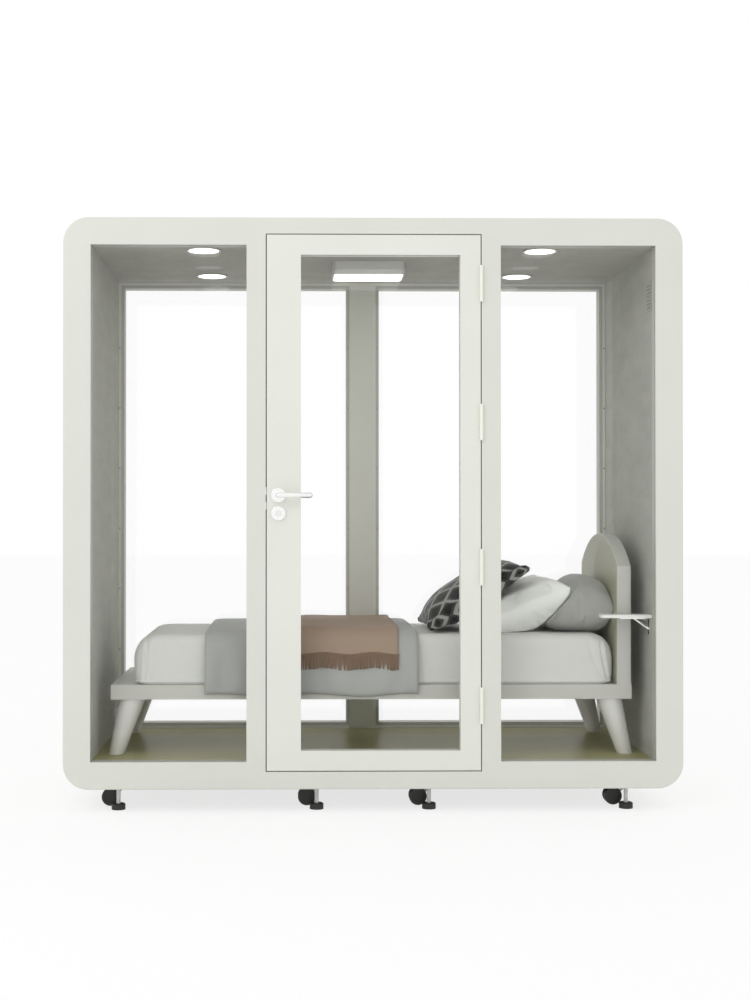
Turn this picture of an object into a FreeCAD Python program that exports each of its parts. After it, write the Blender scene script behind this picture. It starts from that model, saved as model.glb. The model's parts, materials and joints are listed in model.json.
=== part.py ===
import FreeCAD, Part
import math
import os

# Glazed office booth for naps: a rounded box on casters and levelling feet, with a hinged glass door
# and a single bed inside. Millimetres; +X is right seen from the front, +Y is to the back, +Z is up.
# Pieces are drawn from the middle of the front face at floor level. Saving moves them so that the
# origin lies on the floor under the middle of the whole booth.

V = FreeCAD.Vector
ALONG_X = V(1, 0, 0)
ALONG_Y = V(0, 1, 0)
ALONG_Z = V(0, 0, 1)

# Shared fits
FIT = 0.3
RUNNING_CLEARANCE = 0.05
OVERRUN = 2.0
SURVEY_STEP = 0.5
SAME_WAY_SHARE = 0.01

# Body
BODY_WIDTH = 2400.0
BODY_DEPTH = 1000.0
BODY_HEIGHT = 2210.0
UNDERSIDE_HEIGHT = 90.0
CORNER_RADIUS = 100.0
SHELL_THICKNESS = 106.0
FRONT_FRAME_DEPTH = 60.0
BACK_FRAME_DEPTH = 88.0
BACK_BORDER = 26.0
BACK_POST_WIDTH = 146.0
MULLION_WIDTH = 74.0
FACE_EDGE_ROUNDING = 6.0

# Cladding
SKIN = 3.0
PROFILE_WALL = 6.0
TONGUE_LENGTH = 25.0
ACOUSTIC_PANEL = 24.0
FLOOR_DECK = 29.0

# Chassis under the floor
CHASSIS_RECESS = 7.0
TUBE_WALL = 4.0
CROSS_TUBE_WIDTH = 60.0
CROSS_TUBE_SHARES = (-0.94, -0.42, 0.0, 0.42, 0.94)
BEAM_MARGIN = 20.0

# Glazing
GLAZING_LIP = 12.0
GLAZING_REBATE = 14.0
BACK_LIP_SETBACK = 7.0
GASKET = 2.0
PANE = 10.0
PANE_GAP = 2.0

# Door
DOOR_OPENING_WIDTH = 836.0
DOOR_OPENING_DROP = 38.0
DOOR_OPENING_RISE = 43.0
DOOR_GAP = 4.0
DOOR_THICKNESS = 45.0
DOOR_STOP_OVERLAP = 14.0
DOOR_SEAL_WIDTH = 12.0
DOOR_SEAL = 2.7
LOCK_STILE = 132.0
HINGE_STILE = 79.0
DOOR_RAIL = 77.0

# Hinges
HINGE_LENGTH = 140.0
HINGE_HEIGHT_SHARES = (0.121, 0.379, 0.65, 0.909)
HINGE_RADIUS = 7.0
HINGE_PIN_RADIUS = 4.0
HINGE_PIN_CAP = 3.0
HINGE_LEAF = 1.8
HINGE_LEAF_REACH = 36.0
HINGE_STANDOFF = 0.4

# Lock, lever and thumb turn
LOCK_BACKSET = 45.0
LEVER_HEIGHT = 1225.0
LOCK_SPACING = 70.0
ROSE_RADIUS = 28.0
ROSE_THICKNESS = 8.0
ROSE_ROUNDING = 2.5
LEVER_RADIUS = 9.0
LEVER_LENGTH = 132.0
LEVER_STANDOFF = 46.0
SPINDLE_RADIUS = 5.0
SPINDLE_ROOM = 2.0
LOCK_CASE_LENGTH = 84.0
LOCK_CASE_THICKNESS = 18.0
LOCK_CASE_BELOW = 30.0
LOCK_CASE_ABOVE = 42.0
LOCK_CASE_WALL = 2.0
FOLLOWER_RADIUS = 9.0
FOLLOWER_ARM_WIDTH = 8.0
FOLLOWER_ARM_REACH = 16.0
BOLT_HEIGHT = 16.0
BOLT_NOSE_REACH = 2.8
LATCH_LIFT = 16.0
LATCH_NOSE_LENGTH = 19.0
LATCH_TAIL_HEIGHT = 6.0
LATCH_LUG = 5.0
DEAD_BOLT_LIFT = 29.0
DEAD_BOLT_LENGTH = 40.0
DEAD_BOLT_THROW = 20.0
CAM_RADIUS = 14.0
THUMB_LENGTH = 34.0
THUMB_WIDTH = 9.0
THUMB_ROUNDING = 3.0
THUMB_REACH = 18.0
KEY_PLUG_RADIUS = 13.0
KEY_SLOT_LENGTH = 11.0
KEY_SLOT_WIDTH = 2.4
KEY_SLOT_DEPTH = 4.0
STRIKE_THICKNESS = 2.5
STRIKE_MARGIN = 14.0
BOLT_POCKET_ROOM = 6.0

# Lighting in the ceiling
DOWNLIGHT_X = 665.0
DOWNLIGHT_FRONT_SETBACK = 64.0
DOWNLIGHT_BACK_SETBACK = 187.0
DOWNLIGHT_RADIUS = 70.0
DOWNLIGHT_LENS_RADIUS = 60.0
DOWNLIGHT_FLANGE = 3.0
DOWNLIGHT_CAN_WALL = 4.0
DOWNLIGHT_CAN_HEIGHT = 22.0
LENS_THICKNESS = 5.0
LIGHT_BOX_WIDTH = 296.0
LIGHT_BOX_DEPTH = 192.0
LIGHT_BOX_HEIGHT = 53.0
LIGHT_BOX_FRONT_SETBACK = 293.0
LIGHT_BOX_WALL = 6.0
LIGHT_BOX_CORNER = 26.0
DIFFUSER = 4.0

# Ventilation in the right wall
VENT_FRONT_SETBACK = 41.0
VENT_TOP_DROP = 184.0
GRILLE_WIDTH = 76.0
GRILLE_HEIGHT = 116.0
GRILLE_THICKNESS = 3.0
GRILLE_HOLE_RADIUS = 3.6
GRILLE_COLUMNS = 4
GRILLE_ROWS = 7
FAN_SIZE = 62.0
FAN_DEPTH = 26.0
FAN_WALL = 3.0
FAN_HUB_RADIUS = 11.0
FAN_HUB_LENGTH = 15.0
FAN_TIP_GAP = 1.2
FAN_SPIDER = 4.0
FAN_PIN_RADIUS = 1.5
FAN_BLADES = 7
FAN_BLADE_THICKNESS = 1.4
FAN_BLADE_CHORD = 12.0
FAN_ROOT_PITCH_DEGREES = 52.0
FAN_TIP_PITCH_DEGREES = 30.0

# Power inlet on the right outer wall
INLET_HEIGHT = 690.0
INLET_FRONT_SETBACK = 45.0
INLET_PLATE = 44.0
INLET_PLATE_THICKNESS = 3.0
INLET_SPOUT_RADIUS = 7.0
INLET_BORE_RADIUS = 4.5
INLET_REACH = 24.0
INLET_SLOPE_DEGREES = 33.0

# Bedside shelf
SHELF_TOP = 757.0
SHELF_REACH = 198.0
SHELF_THICKNESS = 12.0
SHELF_FRONT_GAP = 6.0
SHELF_BACK_GAP = 8.0
SHELF_CORNER_RADIUS = 24.0
BRACKET_THICKNESS = 5.0
BRACKET_WIDTH = 22.0
BRACKET_DROP = 66.0
BRACKET_ARM = 120.0
STRUT_RADIUS = 4.0
STRUT_DROP_SHARE = 0.67

# Casters and levelling feet
CARRIER_SIDE_INSET = 206.0
CARRIER_MIDDLE_X = 220.0
FOOT_SETBACK = 24.0
FOOT_ROD_RADIUS = 8.0
FOOT_ROD_TOP = 136.0
FOOT_BUSH_RADIUS = 14.0
FOOT_BUSH_HEIGHT = 30.0
FOOT_PAD_RADIUS = 27.0
FOOT_PAD_HEIGHT = 23.0
FOOT_PAD_EDGE = 20.0
FOOT_PAD_NECK_RADIUS = 24.0
CASTER_SETBACK = 98.0
CASTER_TRAIL = 38.0
CASTER_PLATE = 60.0
CASTER_PLATE_THICKNESS = 6.0
WHEEL_RADIUS = 35.0
WHEEL_WIDTH = 15.0
WHEEL_LIFT = 2.0
WHEEL_EDGE_ROUNDING = 4.0
WHEEL_DISH_RADIUS = 24.0
WHEEL_DISH_DEPTH = 3.0
AXLE_RADIUS = 4.0
YOKE_THICKNESS = 17.0
YOKE_SIDE_GAP = 1.0
YOKE_BOSS_RADIUS = 12.0
YOKE_NECK_TOP = 46.0
YOKE_NECK_BOTTOM = 22.0
YOKE_NECK_DROP = 25.0

# Bed
BED_FRONT_GAP = 90.0
BED_BACK_GAP = 62.0
BED_END_GAP = 61.0
BED_RAIL_TOP = 476.0
BED_RAIL_HEIGHT = 57.0
BED_BOARD = 26.0
BED_FOOT_BOARD = 112.0
SLAT_THICKNESS = 18.0
SLAT_WIDTH = 62.0
SLAT_COUNT = 12
LEG_TOP = 104.0
LEG_FOOT = 60.0
LEG_SPLAY = 64.0
LEG_TOP_INSET = 80.0
LEG_SIDE_INSET = 60.0
HEADBOARD_THICKNESS = 60.0
HEADBOARD_RISE = 597.0
HEADBOARD_SIDE_RISE = 469.0
HEADBOARD_ROUNDING = 8.0

# Mattress, blanket and throw
MATTRESS_HEIGHT = 196.0
MATTRESS_FOOT_GAP = 86.0
MATTRESS_HEAD_GAP = 5.0
MATTRESS_SIDE_GAP = 15.0
MATTRESS_SHOULDER = 44.0
MATTRESS_CORNER = 50.0
# Mattress profile as shares of the shoulder: height from its bottom or top, inset of its sides, of its ends
MATTRESS_LOWER_SHARES = ((0.0, 0.25, 0.5), (0.13, 0.1, 0.3), (0.6, 0.0, 0.08), (1.3, 0.0, 0.0))
MATTRESS_UPPER_SHARES = ((2.4, 0.0, 0.0), (1.4, 0.0, 0.2), (0.6, 0.15, 0.6), (0.2, 0.5, 1.1), (0.0, 1.0, 1.9))
BLANKET_FOOT_GAP = 286.0
BLANKET_HEAD_GAP = 789.0
BLANKET_THICKNESS = 24.0
BLANKET_HANG = 242.6
BLANKET_SHOULDER_DROP = 40.0
BLANKET_FOLDS = 10
BLANKET_FOLD_DEPTH = 8.0
THROW_LEFT_INSET = 257.0
THROW_RIGHT_INSET = 80.0
THROW_THICKNESS = 9.0
THROW_HANG = 166.9
THROW_SHOULDER_DROP = 20.0
THROW_FOLDS = 6
THROW_FOLD_DEPTH = 4.0
SLIGHT_FOLD = 0.8

# Pillows: length up the slope, width across the bed
PILLOW_WIDTH = 580.0
REAR_PILLOW_LENGTH = 226.0
REAR_PILLOW_THICKNESS = 204.0
REAR_PILLOW_TILT_DEGREES = 74.0
FRONT_PILLOW_LENGTH = 440.0
FRONT_PILLOW_THICKNESS = 186.0
FRONT_PILLOW_TILT_DEGREES = 16.0
PLAID_CUSHION_SIZE = 470.0
PLAID_CUSHION_THICKNESS = 160.0
PLAID_CUSHION_TILT_DEGREES = 30.0
PILLOW_FRONT_SETBACK = 30.0
FRONT_PILLOW_OFFSET = 365.0
PLAID_CUSHION_OFFSET = 540.0
PILLOW_DRAW_SHARE = 0.055
# Half profile of a pillow: height as a share of the half thickness, outline as a share of the full size
PILLOW_PROFILE_SHARES = ((0.0, 1.0), (0.42, 0.93), (0.74, 0.79), (0.93, 0.58), (1.0, 0.34))

# Places that follow from the sizes above
HALF_WIDTH = BODY_WIDTH / 2
BODY_BOTTOM = UNDERSIDE_HEIGHT
BODY_TOP = UNDERSIDE_HEIGHT + BODY_HEIGHT
INNER_HALF_WIDTH = HALF_WIDTH - SHELL_THICKNESS
FLOOR_TOP = BODY_BOTTOM + SHELL_THICKNESS
CEILING = BODY_TOP - SHELL_THICKNESS
PANEL_BACK = INNER_HALF_WIDTH + ACOUSTIC_PANEL
INSIDE_FRONT = FRONT_FRAME_DEPTH
INSIDE_BACK = BODY_DEPTH - BACK_FRAME_DEPTH
PROFILE_START = HALF_WIDTH - CORNER_RADIUS
WINDOW_EDGE = DOOR_OPENING_WIDTH / 2 + MULLION_WIDTH
FRONT_WINDOWS = (
    (-INNER_HALF_WIDTH, -WINDOW_EDGE, FLOOR_TOP, CEILING),
    (WINDOW_EDGE, INNER_HALF_WIDTH, FLOOR_TOP, CEILING),
)
BACK_EDGE = INNER_HALF_WIDTH - BACK_BORDER
BACK_WINDOWS = (
    (-BACK_EDGE, -BACK_POST_WIDTH / 2, FLOOR_TOP + BACK_BORDER, CEILING - BACK_BORDER),
    (BACK_POST_WIDTH / 2, BACK_EDGE, FLOOR_TOP + BACK_BORDER, CEILING - BACK_BORDER),
)
DOOR_OPENING = (
    -DOOR_OPENING_WIDTH / 2,
    DOOR_OPENING_WIDTH / 2,
    FLOOR_TOP - DOOR_OPENING_DROP,
    CEILING + DOOR_OPENING_RISE,
)
DOOR_STOP = (
    DOOR_OPENING[0] + DOOR_GAP + DOOR_STOP_OVERLAP,
    DOOR_OPENING[1] - DOOR_GAP - DOOR_STOP_OVERLAP,
    FLOOR_TOP,
    CEILING,
)
DOOR_LEAF = (
    DOOR_OPENING[0] + DOOR_GAP,
    DOOR_OPENING[1] - DOOR_GAP,
    DOOR_OPENING[2] + DOOR_GAP,
    DOOR_OPENING[3] - DOOR_GAP,
)
DOOR_GLASS = (
    DOOR_LEAF[0] + LOCK_STILE,
    DOOR_LEAF[1] - HINGE_STILE,
    DOOR_LEAF[2] + DOOR_RAIL,
    DOOR_LEAF[3] - DOOR_RAIL,
)
DOOR_SEAL_FRONT = DOOR_THICKNESS + FIT
DOOR_STOP_FRONT = DOOR_SEAL_FRONT + DOOR_SEAL
HINGE_AXIS_X = DOOR_OPENING[1] - DOOR_GAP / 2
HINGE_AXIS_Y = -HINGE_RADIUS - HINGE_STANDOFF
HINGE_HEIGHTS = [DOOR_LEAF[2] + share * (DOOR_LEAF[3] - DOOR_LEAF[2]) for share in HINGE_HEIGHT_SHARES]
LOCK_EDGE = DOOR_LEAF[0]
SPINDLE_X = LOCK_EDGE + LOCK_BACKSET
THUMB_HEIGHT = LEVER_HEIGHT - LOCK_SPACING
LOCK_MIDDLE_Y = DOOR_THICKNESS / 2
LOCK_BOTTOM = THUMB_HEIGHT - LOCK_CASE_BELOW
LOCK_TOP = LEVER_HEIGHT + LOCK_CASE_ABOVE
LOCK_CAVITY_WIDTH = LOCK_CASE_THICKNESS - 2 * LOCK_CASE_WALL
LATCH_HEIGHT = LEVER_HEIGHT + LATCH_LIFT
DEAD_BOLT_HEIGHT = THUMB_HEIGHT + DEAD_BOLT_LIFT
BOLT_WIDTH = LOCK_CAVITY_WIDTH - 2 * FIT
CHASSIS_BOTTOM = BODY_BOTTOM + CHASSIS_RECESS
CHASSIS_TOP = FLOOR_TOP - FLOOR_DECK
CHASSIS_HALF_LENGTH = PROFILE_START - TONGUE_LENGTH - FIT
BEAM_WIDTH = CASTER_SETBACK + CASTER_PLATE / 2 + BEAM_MARGIN
BEAM_FRONTS = (INSIDE_FRONT, INSIDE_BACK - BEAM_WIDTH)
CARRIER_X = HALF_WIDTH - CARRIER_SIDE_INSET
CARRIER_ROW = (-CARRIER_X, -CARRIER_MIDDLE_X, CARRIER_MIDDLE_X, CARRIER_X)
WHEEL_HEIGHT = WHEEL_RADIUS + WHEEL_LIFT
BED_HALF_LENGTH = INNER_HALF_WIDTH - BED_END_GAP
BED_FRONT = INSIDE_FRONT + BED_FRONT_GAP
BED_BACK = INSIDE_BACK - BED_BACK_GAP
BED_MIDDLE_Y = (BED_FRONT + BED_BACK) / 2
BED_RAIL_BOTTOM = BED_RAIL_TOP - BED_RAIL_HEIGHT
HEADBOARD_FACE = BED_HALF_LENGTH - HEADBOARD_THICKNESS
MATTRESS_BOTTOM = BED_RAIL_TOP + FIT
MATTRESS_TOP = MATTRESS_BOTTOM + MATTRESS_HEIGHT
MATTRESS_LEFT = -BED_HALF_LENGTH + MATTRESS_FOOT_GAP
BLANKET_LEFT = MATTRESS_LEFT + BLANKET_FOOT_GAP
BLANKET_RIGHT = HEADBOARD_FACE - BLANKET_HEAD_GAP
THROW_LEFT = BLANKET_LEFT + THROW_LEFT_INSET
THROW_RIGHT = BLANKET_RIGHT - THROW_RIGHT_INSET
VENT_Y = INSIDE_FRONT + VENT_FRONT_SETBACK
VENT_HEIGHT = CEILING - VENT_TOP_DROP
INLET_Y = INSIDE_FRONT + INLET_FRONT_SETBACK
SHELF_FRONT = INSIDE_FRONT + SHELF_FRONT_GAP
SHELF_BACK = BED_FRONT - SHELF_BACK_GAP
HANDLE_REACH = LEVER_STANDOFF + LEVER_RADIUS
ORIGIN_SHIFT = V(-INLET_REACH / 2, (HANDLE_REACH - BODY_DEPTH) / 2, 0)


# Drawing helpers
def box(x0, x1, y0, y1, z0, z1):
    """Block between two corners."""
    return Part.makeBox(x1 - x0, y1 - y0, z1 - z0, V(x0, y0, z0))


def rod(radius, start, along, length):
    """Round bar from a start point."""
    return Part.makeCylinder(radius, length, start, along)


def slab(window, y0, y1):
    """Upright block with a window's outline (left, right, bottom, top) between two depths."""
    return box(window[0], window[1], y0, y1, window[2], window[3])


def grow(window, by):
    """A window's outline moved outwards on all four sides."""
    return (window[0] - by, window[1] + by, window[2] - by, window[3] + by)


def ring(outer, inner, y0, y1):
    """Upright rectangular ring between two depths."""
    return slab(outer, y0, y1).cut(slab(inner, y0 - OVERRUN, y1 + OVERRUN))


def fuse(solids):
    """Several touching or overlapping solids as one piece."""
    whole = solids[0]
    for solid in solids[1:]:
        whole = whole.fuse(solid)
    return whole.removeSplitter()


def prism_xz(points, y0, y1):
    """Straight-sided outline, seen from the front, between two depths."""
    corners = [V(x, y0, z) for x, z in points]
    outline = Part.makePolygon(corners + corners[:1])
    return Part.Face(outline).extrude(V(0, y1 - y0, 0))


def rounded_slab(window, radius, y0, y1):
    """Upright block with rounded corners, seen from the front."""
    left, right, bottom, top = window
    plate = slab((left + radius, right - radius, bottom, top), y0, y1)
    plate = plate.fuse(slab((left, right, bottom + radius, top - radius), y0, y1))
    for x in (left + radius, right - radius):
        for z in (bottom + radius, top - radius):
            plate = plate.fuse(rod(radius, V(x, y0, z), ALONG_Y, y1 - y0))
    return plate.removeSplitter()


def edges_at(shape, test):
    """Edges whose middle point passes a test."""
    return [edge for edge in shape.Edges if test(edge.CenterOfMass)]


def upright_edges(shape):
    """Edges that run straight up."""
    return [edge for edge in shape.Edges if abs(edge.tangentAt(edge.FirstParameter).z) > 1 - SAME_WAY_SHARE]


def reach(solid, direction):
    """Furthest distance of a curved solid along a direction."""
    return max(point.dot(direction) for point in solid.tessellate(SURVEY_STEP)[0])


def save(name, *solids):
    """Write one node: a single solid or a group of separate solids."""
    moved = [solid.translated(ORIGIN_SHIFT) for solid in solids]
    shape = moved[0] if len(moved) == 1 else Part.makeCompound(moved)
    shape.exportStep("parts/%s.step" % name)


# Frames and glazing
def glazing_hole(window, outside, inward, frame_depth, lip_setback=0):
    """Lip opening and the wider rebate behind it, for one window of a frame."""
    lip = outside + inward * GLAZING_LIP
    inside = outside + inward * (frame_depth + OVERRUN)
    through = sorted((outside - inward * OVERRUN, inside))
    rebate = sorted((lip, inside))
    return slab(grow(window, lip_setback), *through).fuse(slab(grow(window, GLAZING_REBATE), *rebate))


def glazing_layers(window, outside, inward, frame_depth, lip_setback=0):
    """Pane, its two gaskets and the bead that holds them, seated in a rebate."""
    levels = [outside + inward * GLAZING_LIP]
    for layer in (GASKET, PANE, GASKET):
        levels.append(levels[-1] + inward * layer)
    levels.append(outside + inward * frame_depth)
    seat = grow(window, GLAZING_REBATE)
    outer_gasket = ring(seat, grow(window, lip_setback), *sorted(levels[0:2]))
    pane = slab(grow(window, GLAZING_REBATE - PANE_GAP), *sorted(levels[1:3]))
    inner_gasket = ring(seat, window, *sorted(levels[2:4]))
    bead = ring(seat, window, *sorted(levels[3:5]))
    return pane, [outer_gasket, inner_gasket], bead


def outer_outline():
    """Outline of the whole body, seen from the front."""
    return (-HALF_WIDTH, HALF_WIDTH, BODY_BOTTOM, BODY_TOP)


def strike_window():
    """Outline of the strike plate in the lock jamb: front, back, bottom and top."""
    return (
        LOCK_MIDDLE_Y - LOCK_CASE_THICKNESS / 2,
        LOCK_MIDDLE_Y + LOCK_CASE_THICKNESS / 2,
        DEAD_BOLT_HEIGHT - STRIKE_MARGIN,
        LATCH_HEIGHT + STRIKE_MARGIN,
    )


def bolt_hole(height, depth):
    """Cutter in the lock jamb that a bolt can enter."""
    jamb = DOOR_OPENING[0]
    half_width = BOLT_WIDTH / 2 + FIT
    half_height = BOLT_HEIGHT / 2 + FIT
    return box(
        jamb - depth,
        jamb + OVERRUN,
        LOCK_MIDDLE_Y - half_width,
        LOCK_MIDDLE_Y + half_width,
        height - half_height,
        height + half_height,
    )


def bolt_holes():
    """Pockets for the latch and the dead bolt."""
    depth = DEAD_BOLT_THROW + BOLT_POCKET_ROOM
    return bolt_hole(LATCH_HEIGHT, depth).fuse(bolt_hole(DEAD_BOLT_HEIGHT, depth))


def front_frame():
    """Front face of the booth: one rounded frame with two windows and the stepped door opening."""
    frame = rounded_slab(outer_outline(), CORNER_RADIUS, 0, FRONT_FRAME_DEPTH)
    rim = edges_at(frame, lambda p: abs(p.y) < OVERRUN)
    frame = frame.makeFillet(FACE_EDGE_ROUNDING, rim)
    for window in FRONT_WINDOWS:
        frame = frame.cut(glazing_hole(window, 0, 1, FRONT_FRAME_DEPTH))
    frame = frame.cut(slab(DOOR_OPENING, -OVERRUN, DOOR_STOP_FRONT))
    frame = frame.cut(slab(DOOR_STOP, 0, FRONT_FRAME_DEPTH + OVERRUN))
    front, back, bottom, top = strike_window()
    jamb = DOOR_OPENING[0]
    frame = frame.cut(box(jamb - STRIKE_THICKNESS, jamb + OVERRUN, front, back, bottom, top))
    return frame.cut(bolt_holes())


def strike_plate():
    """Plate let into the lock jamb, with a hole for each bolt."""
    front, back, bottom, top = strike_window()
    jamb = DOOR_OPENING[0]
    return box(jamb - STRIKE_THICKNESS, jamb, front, back, bottom, top).cut(bolt_holes())


def back_frame():
    """Back face: one rounded frame with two tall windows beside a middle post."""
    frame = rounded_slab(outer_outline(), CORNER_RADIUS, INSIDE_BACK, BODY_DEPTH)
    rim = edges_at(frame, lambda p: abs(p.y - BODY_DEPTH) < OVERRUN)
    frame = frame.makeFillet(FACE_EDGE_ROUNDING, rim)
    for window in BACK_WINDOWS:
        frame = frame.cut(glazing_hole(window, BODY_DEPTH, -1, BACK_FRAME_DEPTH, BACK_LIP_SETBACK))
    return frame


def door_seal():
    """Compression seal on the stop round the door opening."""
    return ring(grow(DOOR_STOP, DOOR_SEAL_WIDTH), DOOR_STOP, DOOR_SEAL_FRONT, DOOR_STOP_FRONT)


# Cladding between the two frames
def side_tray(side):
    """Steel tray that clads one side: outer skin with a return along each frame."""
    inner, outer = sorted((side * PANEL_BACK, side * HALF_WIDTH))
    cavity_inner, cavity_outer = sorted((side * (PANEL_BACK - OVERRUN), side * (HALF_WIDTH - SKIN)))
    bottom = BODY_BOTTOM + CORNER_RADIUS
    top = BODY_TOP - CORNER_RADIUS
    tray = box(inner, outer, INSIDE_FRONT, INSIDE_BACK, bottom, top)
    return tray.cut(
        box(
            cavity_inner,
            cavity_outer,
            INSIDE_FRONT + SKIN,
            INSIDE_BACK - SKIN,
            bottom - OVERRUN,
            top + OVERRUN,
        )
    )


def roof_tray():
    """Steel tray that clads the roof."""
    bottom = CEILING + ACOUSTIC_PANEL
    tray = box(-PROFILE_START, PROFILE_START, INSIDE_FRONT, INSIDE_BACK, bottom, BODY_TOP)
    return tray.cut(
        box(
            -PROFILE_START - OVERRUN,
            PROFILE_START + OVERRUN,
            INSIDE_FRONT + SKIN,
            INSIDE_BACK - SKIN,
            bottom - OVERRUN,
            BODY_TOP - SKIN,
        )
    )


def corner_profile(side, up):
    """Rounded extrusion along one long edge, with tongues behind the neighbouring skins."""
    depth = INSIDE_BACK - INSIDE_FRONT
    x = side * PROFILE_START
    z = BODY_TOP - CORNER_RADIUS if up > 0 else BODY_BOTTOM + CORNER_RADIUS
    start = V(x, INSIDE_FRONT, z)
    hollow = rod(CORNER_RADIUS - PROFILE_WALL, start, ALONG_Y, depth)
    shell = rod(CORNER_RADIUS, start, ALONG_Y, depth).cut(hollow)
    quadrant_x = sorted((x, x + side * CORNER_RADIUS))
    quadrant_z = sorted((z, z + up * CORNER_RADIUS))
    shell = shell.common(box(*quadrant_x, INSIDE_FRONT, INSIDE_BACK, *quadrant_z))
    behind_skin = CORNER_RADIUS - SKIN
    tongue_x = sorted((x + side * (CORNER_RADIUS - PROFILE_WALL), x + side * behind_skin))
    tongue_z = sorted((z + up * (CORNER_RADIUS - PROFILE_WALL), z + up * behind_skin))
    front = INSIDE_FRONT + SKIN
    back = INSIDE_BACK - SKIN
    upright = box(*tongue_x, front, back, *sorted((z, z - up * TONGUE_LENGTH)))
    level = box(*sorted((x, x - side * TONGUE_LENGTH)), front, back, *tongue_z)
    return fuse([shell, upright, level])


def vent_axis_start(x):
    """Point on the fan's axis at a given distance from the middle of the booth."""
    return V(x, VENT_Y, VENT_HEIGHT)


def acoustic_panel(side):
    """Felt-covered wall panel; the right one is open behind the vent grille."""
    panel = box(
        *sorted((side * INNER_HALF_WIDTH, side * PANEL_BACK)),
        INSIDE_FRONT,
        INSIDE_BACK,
        FLOOR_TOP,
        CEILING,
    )
    if side > 0:
        start = vent_axis_start(INNER_HALF_WIDTH - OVERRUN)
        panel = panel.cut(rod(FAN_SIZE / 2 - FAN_WALL, start, ALONG_X, ACOUSTIC_PANEL + 2 * OVERRUN))
    return panel


def wall_insulation(side):
    """Sound insulation in the hollow of one side wall."""
    inner, outer = sorted((side * PANEL_BACK, side * (HALF_WIDTH - PROFILE_WALL)))
    bottom = BODY_BOTTOM + CORNER_RADIUS
    top = BODY_TOP - CORNER_RADIUS
    fill = box(inner, outer, INSIDE_FRONT + SKIN, INSIDE_BACK - SKIN, bottom, top)
    if side > 0:
        low = VENT_HEIGHT - FAN_SIZE / 2
        high = VENT_HEIGHT + FAN_SIZE / 2
        fill = fill.cut(box(inner, inner + FAN_DEPTH, INSIDE_FRONT, VENT_Y + FAN_SIZE / 2, low, high))
    return fill


def roof_insulation():
    """Sound insulation above the ceiling panel."""
    return box(
        -PROFILE_START,
        PROFILE_START,
        INSIDE_FRONT + SKIN,
        INSIDE_BACK - SKIN,
        CEILING + ACOUSTIC_PANEL,
        BODY_TOP - PROFILE_WALL,
    )


def downlight_places():
    """Middle of each ceiling downlight."""
    rows = (INSIDE_FRONT + DOWNLIGHT_FRONT_SETBACK, INSIDE_BACK - DOWNLIGHT_BACK_SETBACK)
    return [(x, y) for x in (-DOWNLIGHT_X, DOWNLIGHT_X) for y in rows]


def downlight_can_radius():
    """Outer radius of a downlight's can."""
    return DOWNLIGHT_LENS_RADIUS + DOWNLIGHT_CAN_WALL


def ceiling_panel():
    """Ceiling board with a hole for each downlight."""
    panel = box(-PANEL_BACK, PANEL_BACK, INSIDE_FRONT, INSIDE_BACK, CEILING, CEILING + ACOUSTIC_PANEL)
    for x, y in downlight_places():
        start = V(x, y, CEILING - OVERRUN)
        panel = panel.cut(rod(downlight_can_radius() + FIT, start, ALONG_Z, ACOUSTIC_PANEL + 2 * OVERRUN))
    return panel


def floor_deck():
    """Vinyl-faced floor board on the chassis."""
    return box(-PANEL_BACK, PANEL_BACK, INSIDE_FRONT, INSIDE_BACK, CHASSIS_TOP, FLOOR_TOP)


# Chassis
def tube_along_x(x0, x1, y0, y1):
    """Rectangular steel tube across the booth, open at its ends."""
    tube = box(x0, x1, y0, y1, CHASSIS_BOTTOM, CHASSIS_TOP)
    return tube.cut(
        box(
            x0 - OVERRUN,
            x1 + OVERRUN,
            y0 + TUBE_WALL,
            y1 - TUBE_WALL,
            CHASSIS_BOTTOM + TUBE_WALL,
            CHASSIS_TOP - TUBE_WALL,
        )
    )


def tube_along_y(middle, y0, y1):
    """Rectangular steel tube from the front beam to the back beam."""
    half = CROSS_TUBE_WIDTH / 2
    tube = box(middle - half, middle + half, y0, y1, CHASSIS_BOTTOM, CHASSIS_TOP)
    return tube.cut(
        box(
            middle - half + TUBE_WALL,
            middle + half - TUBE_WALL,
            y0 - OVERRUN,
            y1 + OVERRUN,
            CHASSIS_BOTTOM + TUBE_WALL,
            CHASSIS_TOP - TUBE_WALL,
        )
    )


def carrier_places(setback):
    """Places of the eight feet or casters, front row first, at a setback from each frame."""
    return [(x, y) for y in (INSIDE_FRONT + setback, INSIDE_BACK - setback) for x in CARRIER_ROW]


def base_chassis():
    """Welded tube frame with a threaded bush over each levelling foot."""
    front, back = BEAM_FRONTS
    pieces = [tube_along_x(-CHASSIS_HALF_LENGTH, CHASSIS_HALF_LENGTH, y, y + BEAM_WIDTH) for y in BEAM_FRONTS]
    for share in CROSS_TUBE_SHARES:
        pieces.append(tube_along_y(share * CHASSIS_HALF_LENGTH, front + BEAM_WIDTH, back))
    for x, y in carrier_places(FOOT_SETBACK):
        pieces.append(rod(FOOT_BUSH_RADIUS, V(x, y, CHASSIS_BOTTOM), ALONG_Z, FOOT_BUSH_HEIGHT))
    chassis = fuse(pieces)
    for x, y in carrier_places(FOOT_SETBACK):
        start = V(x, y, CHASSIS_BOTTOM - OVERRUN)
        length = FOOT_BUSH_HEIGHT + 2 * OVERRUN
        chassis = chassis.cut(rod(FOOT_ROD_RADIUS + RUNNING_CLEARANCE, start, ALONG_Z, length))
    return chassis


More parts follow.
